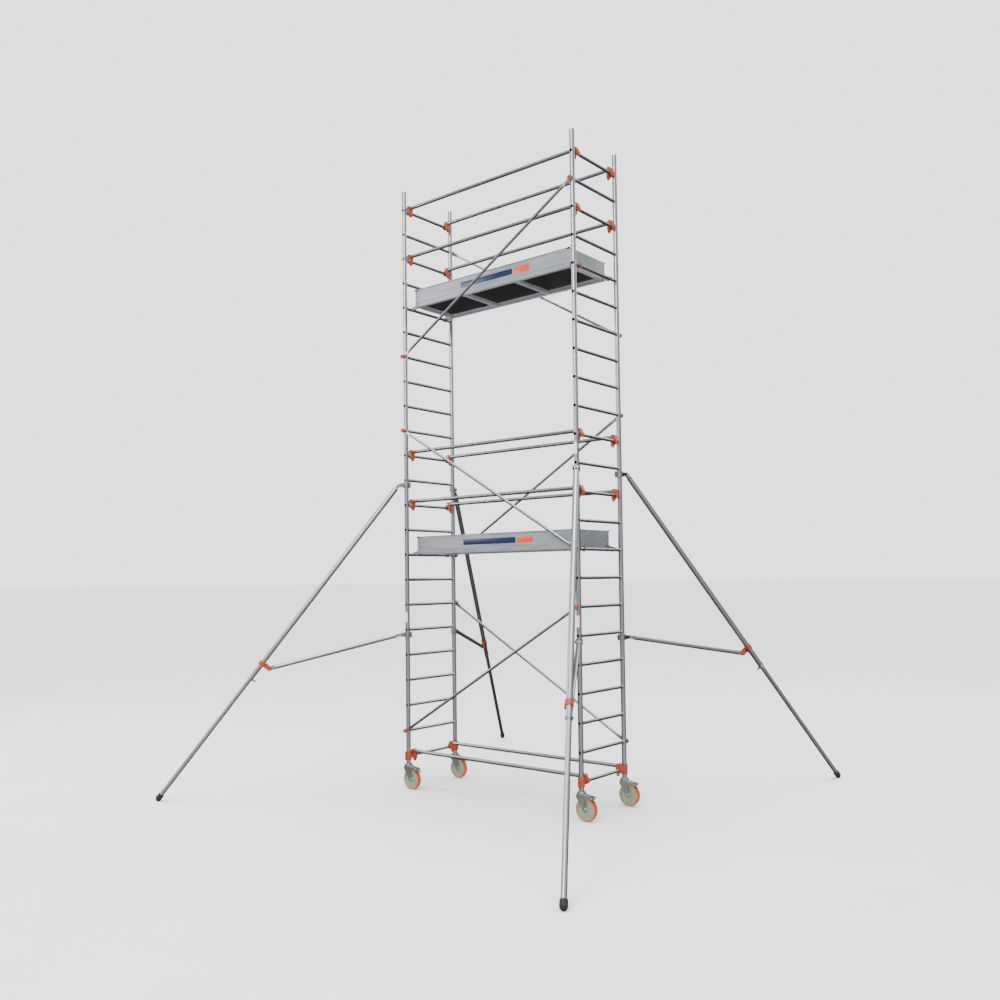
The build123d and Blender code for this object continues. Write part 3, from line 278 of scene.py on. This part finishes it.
def drilled_tube(x, y, low, high, holes):
    """Upright tube with a row of round holes through its front and its back. A hole's edge is
    x = h cos a, z = h sin a on the cylinder, and the surface from it to a square round it is
    the straight blend of the two. Strips fill the rest, and the outer and the inner skin are
    joined along their open edges, at the holes and at the ends."""
    side = 6                          # faces along a side of the square
    half_angle = radians(56)          # half of the square's width, round the tube
    half_height = 19 * mm
    shares = np.linspace(-1, 1, side + 1)
    one = np.ones(side)
    ring_u = np.concatenate([shares[:-1], one, -shares[:-1], -one])
    ring_v = np.concatenate([-one, shares[:-1], one, -shares[:-1]])
    way = np.arctan2(ring_v, ring_u)
    blend = np.array([[0], [0.4], [1]])
    levels = np.sort(np.concatenate([[low, high]] + [z + half_height * shares for z in holes]))
    edges = [low] + [z + s * half_height for z in holes for s in (-1, 1)] + [high]
    skins = []
    for radius in (upright_r, upright_r - upright_wall):
        hole_angle = np.arcsin(rung_r * np.cos(way) / radius)
        parts = []
        for turn in (0, pi):
            front = turn + half_angle * shares
            back = np.linspace(front[-1], turn + pi - half_angle, 7)
            strips = [(back, levels)] + [(front, pair) for pair in zip(edges[::2], edges[1::2])]
            for angles, heights in strips:
                a, z = np.meshgrid(angles, heights)
                faces = grid_faces(len(heights), len(angles), wrap_columns=False)
                parts.append((np.stack([a.ravel(), z.ravel()], 1), faces))
            a = turn + (1 - blend) * hole_angle + blend * half_angle * ring_u
            for hole in holes:
                z = hole + (1 - blend) * rung_r * np.sin(way) + blend * half_height * ring_v
                patch = np.stack([a.ravel(), z.ravel()], 1)
                parts.append((patch, grid_faces(len(blend), 4 * side)[:, ::-1]))
        spots, faces, _ = joined([(s, f, s) for s, f in parts])
        a, z = spots.T
        skins.append((np.column_stack([radius * np.sin(a), -radius * np.cos(a), z]), faces))
    (outer, faces), (inner, _) = skins
    rim = open_edges(outer, faces)
    shift = len(outer)
    faces = np.concatenate([
        faces,
        faces[:, ::-1] + shift,
        np.column_stack([rim[:, 1], rim[:, 0], rim[:, 0] + shift, rim[:, 1] + shift]),
    ])
    local = np.concatenate([outer, inner])
    return closed(local + [x, y, 0], faces, own_grain(local, np.array([x, y, low])))


def brace_tube(start, end, radius, flat_l, flat_w, flat_t, face):
    """Tube with its two ends pressed flat: the section is an ellipse-like ring whose half
    widths blend from (r, r) to (w / 2, t / 2) with a smooth step over the pressed length.
    The rounded tip follows w / 2 * sqrt(1 - u^2)."""
    start = np.array(start, float)
    run = np.array(end, float) - start
    length = np.linalg.norm(run)
    tip = flat_w / 2
    u = np.concatenate([-tip * np.cos(np.linspace(0, pi / 2, 7)), [0.3 * flat_l, 0.5 * flat_l],
                        np.linspace(0.6, 1.1, 8) * flat_l])
    u = np.concatenate([u, length - u[::-1]])
    near = np.minimum(u, length - u)
    blend = np.clip((near - 0.5 * flat_l) / (0.6 * flat_l), 0, 1)
    blend = blend * blend * (3 - 2 * blend)
    wide = tip + (radius - tip) * blend
    wide = np.where(near < 0, tip * np.sqrt(np.clip(1 - (near / tip) ** 2, 0, 1)), wide)
    thick = flat_t / 2 + (radius - flat_t / 2) * blend
    thick = np.where(near < -0.9 * tip, thick * 0.6, thick)
    # a power under 1 squares the pressed section, and 1 leaves the tube round
    power = (0.45 + 0.55 * blend)[:, None]
    angle = np.linspace(0, 2 * pi, 36, endpoint=False)
    c = np.cos(angle)
    s = np.sin(angle)
    local = np.stack([
        thick[:, None] * np.sign(c) * np.abs(c) ** power,
        wide[:, None] * np.sign(s) * np.abs(s) ** power,
        u[:, None] + 0 * angle,
    ], -1)
    ends = [np.tile([0, 0, at], (1, len(angle), 1)) for at in (u[0], u[-1])]
    local = np.concatenate([ends[0], local, ends[1]]).reshape(-1, 3)
    points = placed(local, stand(start, face, run))
    return closed(points, grid_faces(len(u) + 2, len(angle)), own_grain(local, start))


# ---- materials -----------------------------------------------------------------
def srgb(code):
    """An sRGB hex colour as linear RGBA."""
    value = np.array([int(code[k:k + 2], 16) for k in (1, 3, 5)]) / 255
    line = np.where(value <= 0.04045, value / 12.92, ((value + 0.055) / 1.055) ** 2.4)
    return (*line, 1.0)


def add(tree, kind, links=None, **settings):
    """Add a shader node. A setting goes to the node's own property, or else to its socket."""
    made = tree.nodes.new("ShaderNode" + kind)
    for name, value in settings.items():
        if hasattr(made, name):
            setattr(made, name, value)
        else:
            made.inputs[name.replace("_", " ")].default_value = value
    for socket, source in (links or {}).items():
        tree.links.new(source, made.inputs[socket])
    return made


def finish(name, dark, light, grain_mm, spread, bump=0.0, along=False, **shader):
    """A material whose colour and gloss wander between two shades. The pattern's grains
    measure grain_mm each way, and follow the draw of a tube when along is set."""
    made = bpy.data.materials.new(name)
    made.use_nodes = True
    tree = made.node_tree
    bsdf = tree.nodes["Principled BSDF"]
    for socket, value in shader.items():
        bsdf.inputs[socket.replace("_", " ")].default_value = value
    if along:
        spot = add(tree, "Attribute", attribute_name="grain").outputs["Vector"]
    else:
        spot = add(tree, "TexCoord").outputs["Object"]
    per_metre = tuple(1 / (size * mm) for size in np.broadcast_to(grain_mm, 3))
    spot = add(tree, "Mapping", {"Vector": spot}, Scale=per_metre).outputs[0]
    wander = add(tree, "TexNoise", {"Vector": spot}, Scale=1.0, Detail=4.0, Roughness=0.6).outputs[0]
    wander = add(tree, "MapRange", {"Value": wander}, From_Min=0.3, From_Max=0.7).outputs[0]
    shade = add(tree, "Mix", data_type="RGBA")
    shade.inputs[6].default_value = srgb(dark)
    shade.inputs[7].default_value = srgb(light)
    tree.links.new(wander, shade.inputs[0])
    tree.links.new(shade.outputs[2], bsdf.inputs["Base Color"])
    low = shader["Roughness"] - spread
    gloss = add(tree, "MapRange", {"Value": wander}, To_Min=low, To_Max=low + 2 * spread).outputs[0]
    tree.links.new(gloss, bsdf.inputs["Roughness"])
    if bump:
        lump = add(tree, "Bump", {"Height": wander}, Strength=0.6, Distance=bump).outputs[0]
        tree.links.new(lump, bsdf.inputs["Normal"])
    return made


looks = {
    # drawn aluminium tube, mill finish: bright, with fine streaks along the draw that are partly the draw's lines
    # and partly painted reflection streaks. The real lines are some 0.2 mm apart, too fine to show, and are drawn
    # 2.4 mm apart.
    "aluminium_tube": finish("drawn_aluminium_tube_mill_finish", "#8c8f94", "#bcbfc4",
                             (2.381, 2.381, 666.7), 0.08, along=True, Metallic=1.0, Roughness=0.3),
    # extruded aluminium profile, mill finish: a little duller, with soft clouds 25 mm across
    # that are drawn out along the bay
    "aluminium_profile": finish("extruded_aluminium_mill_finish", "#8e9197", "#a8acb2",
                                (333.3, 25, 25), 0.06, Metallic=0.6, Roughness=0.4),
    # die-cast aluminium, tumbled: grey, with an even fine grain. The real grain is under
    # 1 mm, and is drawn 3.8 mm across so that it shows.
    "cast_aluminium": finish("tumbled_die_cast_aluminium", "#808285", "#a5a7a9",
                             3.846, 0.08, 0.2 * mm, Metallic=1.0, Roughness=0.45),
    # die casting painted orange: satin film with slight orange peel. The real peel is 1 to
    # 2 mm across, and is drawn at 6.7 mm so that it shows.
    "orange_paint": finish("orange_powder_coat", "#93340c", "#a84112",
                           6.667, 0.06, 0.1 * mm, Roughness=0.42),
    # zinc-plated pressed steel, bright passivated: cool grey with faint patches 29 mm across
    "zinc_steel": finish("bright_zinc_plated_steel", "#aeb2b3", "#cdcfcd",
                         28.57, 0.05, Metallic=1.0, Roughness=0.3),
    # cast polyurethane tyre: dense orange with a dull satin skin and 25 mm clouds
    "orange_tyre": finish("cast_polyurethane_tread", "#bd4712", "#cf5519",
                          25, 0.05, Roughness=0.5),
    # injection-moulded nylon wheel centre: pale grey-green, evenly satin. The moulded skin's
    # grain is under 1 mm, and is drawn 11 mm across so that it shows.
    "nylon_centre": finish("moulded_glass_filled_nylon", "#7d8a72", "#8d9981",
                           11.11, 0.04, 0.05 * mm, Roughness=0.46),
    # birch plywood faced with dark phenolic film: nearly black brown, faint sheen, with the
    # wood's grain showing through 6 mm apart
    "phenolic_plywood": finish("phenolic_film_faced_plywood", "#15110d", "#211a14",
                               6.25, 0.08, 0.2 * mm, Roughness=0.5),
    # moulded black rubber foot: matt. The skin's grain is drawn 11 mm across so that it shows.
    "black_rubber": finish("moulded_black_rubber", "#161616", "#242423",
                           11.11, 0.05, 0.1 * mm, Roughness=0.75),
    # moulded black polypropylene: a little gloss, in soft 11 mm clouds
    "black_plastic": finish("moulded_black_polypropylene", "#121213", "#1d1d1f",
                            11.11, 0.05, Roughness=0.4),
}
# self-adhesive vinyl, plain: even colour under a smooth clear face, with faint 50 mm clouds
stripe_blue = finish("dark_blue_vinyl_film", "#0c1a3c", "#11214a", 50, 0.03, Roughness=0.3)
stripe_orange = finish("orange_vinyl_film", "#c93c04", "#d34608", 50, 0.03, Roughness=0.3)
label_white = finish("white_vinyl_film", "#e2e2df", "#efefec", 50, 0.03, Roughness=0.35)
# painted floor: white and matt, with clouds a metre across that are too faint to see
studio_white = finish("white_studio_floor", "#f4f4f4", "#f8f8f8", 1000, 0.02, Roughness=0.9)


# ---- pieces --------------------------------------------------------------------
def piece(name, shapes, slot, body, nodes=(), look=None):
    """Make a mesh of shapes at the origin, ride it on its body and hide the CAD nodes it replaces."""
    points, faces, grain = joined(shapes)
    triangle = faces[:, 2] == faces[:, 3]
    count = np.where(triangle, 3, 4)
    keep = np.ones(faces.shape, bool)
    keep[triangle, 3] = False
    mesh = bpy.data.meshes.new(name)
    mesh.vertices.add(len(points))
    mesh.vertices.foreach_set("co", points.astype(np.float32).ravel())
    mesh.loops.add(int(count.sum()))
    mesh.loops.foreach_set("vertex_index", faces[keep].astype(np.int32))
    mesh.polygons.add(len(faces))
    mesh.polygons.foreach_set("loop_start", (np.cumsum(count) - count).astype(np.int32))
    mesh.update(calc_edges=True)
    mesh.validate()
    lines = mesh.attributes.new("grain", "FLOAT_VECTOR", "POINT")
    lines.data.foreach_set("vector", grain.astype(np.float32).ravel())
    mesh.shade_smooth()
    mesh.set_sharp_from_angle(angle=radians(32))
    mesh.materials.append(look or looks[slot])
    made = bpy.data.objects.new(name, mesh)
    bpy.context.scene.collection.objects.link(made)
    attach(made, body)
    if nodes:
        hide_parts(*nodes)


body_of = {node: body for body, nodes in frame["record"]["behaviour"]["bodies"].items() for node in nodes}
slot_of = {}

# every CAD node first wears the material of its slot
for name, node in frame["nodes"].items():
    for k, held in enumerate(node.data.materials):
        slot_of[name] = next(s for s in looks if s in held.name)
        node.data.materials[k] = looks[slot_of[name]]

# frames: drilled uprights with rungs set through them
rungs_of = {
    "base_frames": (1, 6), "lower_frames": (7, 14), "middle_frames": (15, 18), "top_frames": (19, rung_count),
}
rung_end = half_width + upright_r - 1.5 * mm
for node, (first, last) in rungs_of.items():
    low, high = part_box(node)
    levels = [rung_z(n) for n in range(first, last + 1)]
    shapes = []
    for x in (-half_bay, half_bay):
        shapes += [drilled_tube(x, y, low.z, high.z, levels) for y in (-half_width, half_width)]
        shapes += [tube((x, -rung_end, z), (x, rung_end, z), rung_r, turns=32) for z in levels]
    piece(node + "_tubes", shapes, "aluminium_tube", "tower", [node])

# horizontal rails, at one level or at two
for node in ("base_rails", "lower_guardrails", "upper_guardrails"):
    low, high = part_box(node)
    levels = np.unique([low.z + rail_r, high.z - rail_r])
    if levels[-1] - levels[0] < rail_r:
        levels = levels[:1]
    shapes = [tube((low.x, y, z), (high.x, y, z), rail_r)
              for y in (low.y + rail_r, high.y - rail_r) for z in levels]
    piece(node + "_tubes", shapes, "aluminium_tube", "tower", [node])

# diagonal braces with pressed ends: side (-1 front, 1 back), rung at the left, rung at the right
brace_rungs = ((-1, 1, 6), (-1, 13, 8), (-1, 16, 21), (1, 6, 1), (1, 8, 13), (1, 21, 16))
brace_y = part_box("diagonals")[1].y - brace_r
shapes = []
for side, left_rung, right_rung in brace_rungs:
    start = (-half_bay, side * brace_y, rung_z(left_rung))
    end = (half_bay, side * brace_y, rung_z(right_rung))
    shapes.append(brace_tube(start, end, brace_r, flat_l=110 * mm, flat_w=34 * mm, flat_t=8 * mm,
                             face=(0, 1, 0)))
piece("diagonal_tubes", shapes, "aluminium_tube", "tower", ["diagonals"])

# transoms between the base collars
low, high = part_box("base_transoms")
shapes = [tube((x, low.y, base_rail_z), (x, high.y, base_rail_z), rung_r) for x in (-half_bay, half_bay)]
piece("base_transom_tubes", shapes, "aluminium_tube", "tower", ["base_transoms"])

# lock pins through the frame joints, each with its spring wire half round the upright
pins = []
arc = np.linspace(0, pi, 24)
wire_turn = upright_r + 3 * mm
for seam in [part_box(node)[0].z for node in ("lower_frames", "middle_frames", "top_frames")]:
    z = seam - 38 * mm
    for x, y in [corner[q][:2] for q in quarters]:
        side = -1 if y < 0 else 1
        bow = side * wire_turn * np.sin(arc)
        path = np.column_stack([x + wire_turn * np.cos(arc), y + bow, z + 0 * arc])
        pins.append(wire(path, 2 * mm, (0, 0, 1)))
        reach = -side * (wire_turn + 8 * mm)
        pins.append(bar((x + side * wire_turn, y, z), (x + reach, y, z), 4 * mm, 0.8 * mm, 20))
piece("frame_lock_pins", pins, "zinc_steel", "tower", ["frame_lock_clips"])

# weld beads round the rungs on the inner faces of the uprights, scalloped by 14 flutes
bead = [(rung_r - 0.3 * mm, 0), (rung_r + 3.4 * mm, 0), (rung_r + 2.6 * mm, 1.8 * mm),
        (rung_r - 0.3 * mm, 3.6 * mm)]
bead_y = half_width - upright_r + 0.6 * mm
beads = [
    lathe(bead, (x, side * bead_y, rung_z(n)), (0, -side, 0), ring=True, turns=28,
          flutes=14, flute_depth=0.006)
    for n in range(1, rung_count + 1) for x in (-half_bay, half_bay) for side in (-1, 1)
]
piece("rung_weld_beads", beads, "aluminium_tube", "tower")


# outriggers
def fork(origin, run, hinge, end, radius, wall):
    """Tube from beside its pivot, with two cheeks round the pivot bolt."""
    cheek = [(0, 0, 15 * mm), (tube_start + 10 * mm, 0, 15 * mm)]
    cheeks = [slab(cheek, 2.5 * mm, 1 * mm, stand(origin + side * 11.8 * mm * hinge, run, hinge))
              for side in (-1, 1)]
    return [tube(origin + run * tube_start, origin + run * end, radius, wall)] + cheeks


def pivot_bolt(spot, hinge):
    """Hexagon bolt through a pivot, along its hinge."""
    return hex_bolt(spot - bolt_grip * hinge, spot + bolt_grip * hinge, 6 * mm, 19 * mm, 7 * mm)


def strut_way(q, origin, hinge):
    """Direction of a strut from its pivot: towards the middle of the box round the CAD
    points of its far end, and at right angles to its hinge."""
    mesh = frame["nodes"]["outrigger_strut_" + q].data
    spots = np.zeros(len(mesh.vertices) * 3)
    mesh.vertices.foreach_get("co", spots)
    spots = spots.reshape(-1, 3)
    far = spots[((spots - origin) ** 2).sum(1) > (0.9 * strut_l) ** 2]
    run = (far.min(0) + far.max(0)) / 2 - origin
    run -= hinge * (run @ hinge)
    return run / np.linalg.norm(run)


button = [(0, 0), (8 * mm, 0), (10.5 * mm, 3 * mm), (10.5 * mm, 9 * mm), (8 * mm, 12 * mm), (0, 12 * mm)]
ribs = [(foot_r - (0.9 * mm if k % 2 else 0), (3 + 4 * k) * mm) for k in range(9)]
dome = [(foot_r * cos(t), foot_l + foot_r * sin(t)) for t in np.linspace(0, pi / 2, 10)[:-1]]
foot = [(0, 0), (foot_r - 2 * mm, 0)] + ribs + dome + [(0, foot_l + foot_r)]
for q in quarters:
    outer, inner, strut = ("outrigger_" + part + q for part in ("outer_leg_", "inner_leg_", "strut_"))
    hinge = np.array(joints["leg_tilt_" + q]["axis"], float)
    pivot = np.array(joints["leg_tilt_" + q]["pos_m"], float)
    along = np.array(joints["coupler_slide_" + q]["axis"], float)
    along *= -np.sign(along[2])
    inward = np.cross(hinge, along)
    inward *= -np.sign(inward[2])

    leg = fork(pivot, along, hinge, outer_leg_l, outer_leg_r, outer_leg_wall)
    collar = tube_profile(end_collar_r, 4 * mm, 22 * mm, 1 * mm)
    leg.append(lathe(collar, pivot + along * (outer_leg_l - 30 * mm), along, ring=True))
    piece("outer_leg_tube_" + q, leg, "aluminium_tube", outer, [outer])
    piece("leg_pivot_bolt_" + q, pivot_bolt(pivot, hinge), "zinc_steel", outer)

    # spring button through the end collar, and a sprung wire clip round it
    seat = pivot + along * (outer_leg_l - 19 * mm)
    knob = [
        bar(seat + inward * (end_collar_r - 1 * mm), seat + inward * (end_collar_r + 14 * mm), 5 * mm),
        lathe(button, seat + inward * (end_collar_r + 13 * mm), inward, turns=40, flutes=8, flute_depth=0.06),
    ]
    piece("leg_button_" + q, knob, "black_plastic", outer)
    turn = np.linspace(radians(35), radians(325), 40)[:, None]
    clip = (end_collar_r + 2.2 * mm) * (np.cos(turn) * inward + np.sin(turn) * np.cross(along, inward))
    piece("leg_clip_wire_" + q, [wire(seat + clip, 1.6 * mm, along)], "zinc_steel", outer)

    origin = np.array(joints["strut_hinge_" + q]["pos_m"], float)
    run = strut_way(q, origin, hinge)
    shapes = fork(origin, run, hinge, strut_l - tube_start - 10 * mm, strut_r, tube_wall)
    tongue = [(-tongue_l, 0, 21 * mm), (0, 0, 21 * mm)]
    shapes.append(slab(tongue, 8 * mm, 1.5 * mm, stand(origin + run * strut_l, run, hinge)))
    piece("strut_tube_" + q, shapes, "aluminium_tube", strut, [strut])
    piece("strut_pivot_bolt_" + q, pivot_bolt(origin, hinge), "zinc_steel", strut)

    # the leg ends where its domed foot meets the floor
    leg_end = (pivot[2] - foot_r) / -along[2]
    shapes = [tube(pivot + along * (leg_end - inner_leg_l), pivot + along * (leg_end - 6 * mm), inner_leg_r)]
    piece("inner_leg_tube_" + q, shapes, "aluminium_tube", inner, [inner])
    rubber = lathe(foot, pivot + along * (leg_end - foot_l), along, turns=48)
    piece("rubber_foot_" + q, [rubber], "black_rubber", inner, [inner])

# wheels: a bonded tyre round a dished centre, each a ring of (radius, half width) in mm from
# its inner edge to its rim, and the same mirrored
tyre_half = [(88, 21.5), (90, 23.6), (93, 24.8), (96, 23.9), (98.4, 21.6), (99.6, 18), (100, 14),
             (100, 1.2), (99.6, 0.5)]
centre_half = [(8.2, 28), (24.5, 28), (26, 26.5), (27.5, 15), (31, 11.6), (36, 11), (70, 11),
               (77, 12), (80, 15), (81.2, 21), (82.4, 22), (88, 22)]
rings_of_wheel = {"tyre_": (tyre_half, "orange_tyre"), "wheel_centre_": (centre_half, "nylon_centre")}
for q in quarters:
    hub = np.array(joints["wheel_spin_" + q]["pos_m"], float)
    axle = np.array(joints["wheel_spin_" + q]["axis"], float)
    for name, (half, slot) in rings_of_wheel.items():
        outline = np.array(half + [(r, -h) for r, h in half[::-1]]) * mm
        turned = lathe(outline, hub, axle, ring=True, turns=96)
        piece(name + q, [turned], slot, "wheel_" + q, ["caster_wheel_" + q])


def solids_of(work):
    """Groups of a mesh's points that edges join."""
    left = set(work.verts)
    while left:
        group = [left.pop()]
        for vert in group:
            for edge in vert.link_edges:
                other = edge.other_vert(vert)
                if other in left:
                    left.remove(other)
                    group.append(other)
        yield group


def is_knob(group):
    """A wing knob is the solid whose box has a diagonal of 70 to 120 mm."""
    spots = np.array([vert.co for vert in group])
    return 70 * mm < np.linalg.norm(spots.max(0) - spots.min(0)) < 120 * mm


def softened(node, width, knobs=None):
    """Copy of a CAD node with its triangles merged into faces, and with each edge of more
    than 40 degrees rounded by a bevel of a given width. With knobs True it holds only the
    node's wing knobs, and with False all but them."""
    mesh = frame["nodes"][node].data.copy()
    work = bmesh.new()
    work.from_mesh(mesh)
    bmesh.ops.remove_doubles(work, verts=work.verts, dist=2e-6)
    if knobs is not None:
        extra = [vert for group in solids_of(work) if is_knob(group) != knobs for vert in group]
        bmesh.ops.delete(work, geom=extra, context="VERTS")
    bmesh.ops.dissolve_limit(work, angle_limit=radians(0.8), verts=work.verts, edges=work.edges)
    work.to_mesh(mesh)
    work.free()
    mesh.shade_smooth()
    mesh.set_sharp_from_angle(angle=radians(24))
    name = node.replace("outrigger_", "") + ("_knobs" if knobs else "_finished")
    made = bpy.data.objects.new(name, mesh)
    bpy.context.scene.collection.objects.link(made)
    rounded = made.modifiers.new("rounded_edges", "BEVEL")
    rounded.width = width
    rounded.segments = 2
    rounded.limit_method = "ANGLE"
    rounded.angle_limit = radians(40)
    slot = "black_plastic" if knobs else slot_of[node]
    mesh.materials.clear()
    mesh.materials.append(looks[slot])
    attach(made, body_of[node])
    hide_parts(node)


# castings, pressings and boards keep their CAD shape, with edges rounded by this many mm
rounded_mm = {
    "rail_claws": 1.2, "rail_claw_jaws": 0.6, "base_collars": 1.2, "diagonal_knobs": 1.0,
    "deck_hooks": 1.0, "wind_locks": 1.0, "claw_bolts": 0.4, "caster_stems": 0.8,
    "lower_deck_frame": 0.8, "upper_deck_frame": 0.8, "lower_toe_boards": 0.5,
    "upper_toe_boards": 0.5, "trapdoor_hinges": 0.4,
}
for q in quarters:
    rounded_mm["caster_fork_" + q] = 1.0
    rounded_mm["caster_brake_" + q] = 0.8
    for node in ("outrigger_clamps_" + q, "outrigger_coupler_" + q):
        softened(node, 1.2 * mm, knobs=False)
        softened(node, 1.0 * mm, knobs=True)
for node, width in rounded_mm.items():
    softened(node, width * mm)

# toe boards: vinyl stripes (left end, right end, look), rivets (height, places along) and
# corner caps
stripes = {"blue": (-0.34, 0.30, stripe_blue), "orange": (0.32, 0.50, stripe_orange)}
rivet_rows = ((28 * mm, (-0.92, -0.60, -0.30, 0.0, 0.30, 0.60, 0.92)), (150 * mm, (-0.92, 0.92)))
rivet = [(0, 0), (4.5 * mm, 0), (4.2 * mm, 1.2 * mm), (2.8 * mm, 2.2 * mm), (0, 2.6 * mm)]
for level in ("lower", "upper"):
    low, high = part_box(level + "_toe_boards")
    stripe_z = low.z + 100 * mm
    for colour, (left, right, look) in stripes.items():
        film = block((left, -board_face_y - 0.6 * mm, stripe_z - stripe_half_h),
                     (right, -board_face_y + 0.7 * mm, stripe_z + stripe_half_h), 0.6 * mm)
        piece(level + "_" + colour + "_stripe", [film], "aluminium_profile", "tower", look=look)
    rivets = [lathe(rivet, (x, side * board_face_y, low.z + up), (0, side, 0), turns=16)
              for side in (-1, 1) for up, row in rivet_rows for x in row]
    piece(level + "_board_rivets", rivets, "zinc_steel", "tower")
    caps = []
    for sx in (-1, 1):
        for sy in (-1, 1):
            x = sx * (high.x - 12 * mm)
            y = sy * (high.y - 9 * mm)
            bottom = (x - 13 * mm, y - 10 * mm, high.z - 12 * mm)
            caps.append(block(bottom, (x + 13 * mm, y + 10 * mm, high.z + 3 * mm), 3 * mm))
    piece(level + "_corner_caps", caps, "black_plastic", "tower")

# small white labels wrapped round the front uprights: at angle t a label's point lies at
# r * (sin t, -cos t) from the upright's axis, on an inner and an outer skin
inner_r = upright_r + 0.1 * mm
outer_r = upright_r + 0.4 * mm
label_h = 100 * mm
turn = np.linspace(-0.75, 0.75, 13)
labels = []
for x, number in ((-half_bay, 5), (half_bay, 5), (half_bay, 11)):
    foot_z = rung_z(number) + 75 * mm
    head_z = foot_z + label_h
    points = np.concatenate([
        np.column_stack([x + r * np.sin(turn), -half_width - r * np.cos(turn), z + 0 * turn])
        for r, z in ((inner_r, foot_z), (outer_r, foot_z), (outer_r, head_z), (inner_r, head_z))
    ])
    faces = grid_faces(4, len(turn), wrap_rows=True, wrap_columns=False)
    left = np.arange(4) * len(turn)
    labels.append(closed(points, np.concatenate([faces, [left, left[::-1] + len(turn) - 1]])))
piece("frame_labels", labels, "aluminium_tube", "tower", look=label_white)

# ---- light, floor and camera ---------------------------------------------------
bpy.ops.mesh.primitive_plane_add(size=600)
floor = bpy.context.object
floor.name = "floor"
floor.data.materials.append(studio_white)
floor.visible_glossy = False

world = bpy.data.worlds.new("studio")
bpy.context.scene.world = world
world.use_nodes = True
tree = world.node_tree
way = add(tree, "TexCoord").outputs["Generated"]
split = add(tree, "SeparateXYZ", {"Vector": way})
# metal mirrors a dark ground, a grey horizon and a bright ceiling: (place from 0 straight
# down to 1 straight up, level), of which the first two move the ramp's own points
surroundings = ((0.0, 0.16), (0.85, 0.95), (0.13, 0.24), (0.3, 0.46), (0.47, 0.42), (0.56, 0.5), (0.68, 0.78))
rise = add(tree, "MapRange", {"Value": split.outputs["Z"]}, From_Min=-1.0, From_Max=1.0).outputs[0]
mirrored = add(tree, "ValToRGB", {"Fac": rise})
shades = mirrored.color_ramp.elements
for k, (place, level) in enumerate(surroundings[:2]):
    shades[k].position = place
    shades[k].color = (level, level, level, 1)
for place, level in surroundings[2:]:
    shades.new(place).color = (level, level, level, 1)
# behind the camera a bright card, weaker towards the ceiling
card = add(tree, "VectorMath", {0: way}, operation="DOT_PRODUCT")
card.inputs[1].default_value = (0.64, -0.77, 0)
card = add(tree, "MapRange", {"Value": card.outputs["Value"]}, interpolation_type="SMOOTHSTEP",
           From_Min=-0.3, From_Max=1.0, To_Min=0.22, To_Max=1.9).outputs[0]
high = add(tree, "MapRange", {"Value": split.outputs["Z"]}, From_Min=0.05, From_Max=0.5).outputs[0]
card = add(tree, "Mix", {0: high, 2: card}, data_type="FLOAT")
card.inputs[3].default_value = 1.0
glow = add(tree, "Math", {0: mirrored.outputs[0], 1: card.outputs[0]}, operation="MULTIPLY").outputs[0]
# seen directly, the backdrop is plain and bright
seen = add(tree, "LightPath").outputs["Is Camera Ray"]
level = add(tree, "Mix", {0: seen, 2: glow}, data_type="FLOAT")
level.inputs[3].default_value = 2.3
tree.nodes["Background"].inputs["Color"].default_value = srgb("#ffffff")
tree.links.new(level.outputs[0], tree.nodes["Background"].inputs["Strength"])


def light(name, kind, power, place=Matrix(), **settings):
    """Add a light of a kind at a place."""
    lamp = bpy.data.lights.new(name, kind)
    lamp.energy = power
    for setting, value in settings.items():
        setattr(lamp, setting, value)
    holder = bpy.data.objects.new(name, lamp)
    holder.matrix_world = place
    bpy.context.scene.collection.objects.link(holder)


def softbox(name, spot, target, power):
    """Square light 5 m wide at a spot, turned to a target."""
    spot = Vector(spot)
    turned = (Vector(target) - spot).to_track_quat("-Z", "Y").to_matrix().to_4x4()
    light(name, "AREA", power, Matrix.Translation(spot) @ turned, size=5)


softbox("key_light", (3, -11, 9), (0, 0, 3), 1000)
softbox("fill_light", (-9, -5, 6), (0, 0, 2.5), 450)
softbox("back_light", (2, 10, 8), (0, 0, 3), 350)
light("overhead_light", "SUN", 4.2, angle=radians(50))

camera = bpy.data.objects.new("camera", bpy.data.cameras.new("camera"))
bpy.context.scene.collection.objects.link(camera)
bpy.context.scene.camera = camera
yaw, pitch, roll = radians(39.65), radians(2.16), radians(-0.67)
ahead = Vector((-sin(yaw) * cos(pitch), cos(yaw) * cos(pitch), sin(pitch)))
level_right = Vector((cos(yaw), sin(yaw), 0))
level_up = level_right.cross(ahead)
right = level_right * cos(roll) + level_up * sin(roll)
up = level_up * cos(roll) - level_right * sin(roll)
turned = Matrix((right, up, -ahead)).transposed().to_4x4()
camera.matrix_world = Matrix.Translation((5.730, -7.127, 2.083)) @ turned
camera.data.sensor_width = 36
camera.data.lens = 34.21
camera.data.shift_x = 0.005
camera.data.shift_y = 0.042
camera.data.clip_end = 1000

bpy.context.view_layer.update()
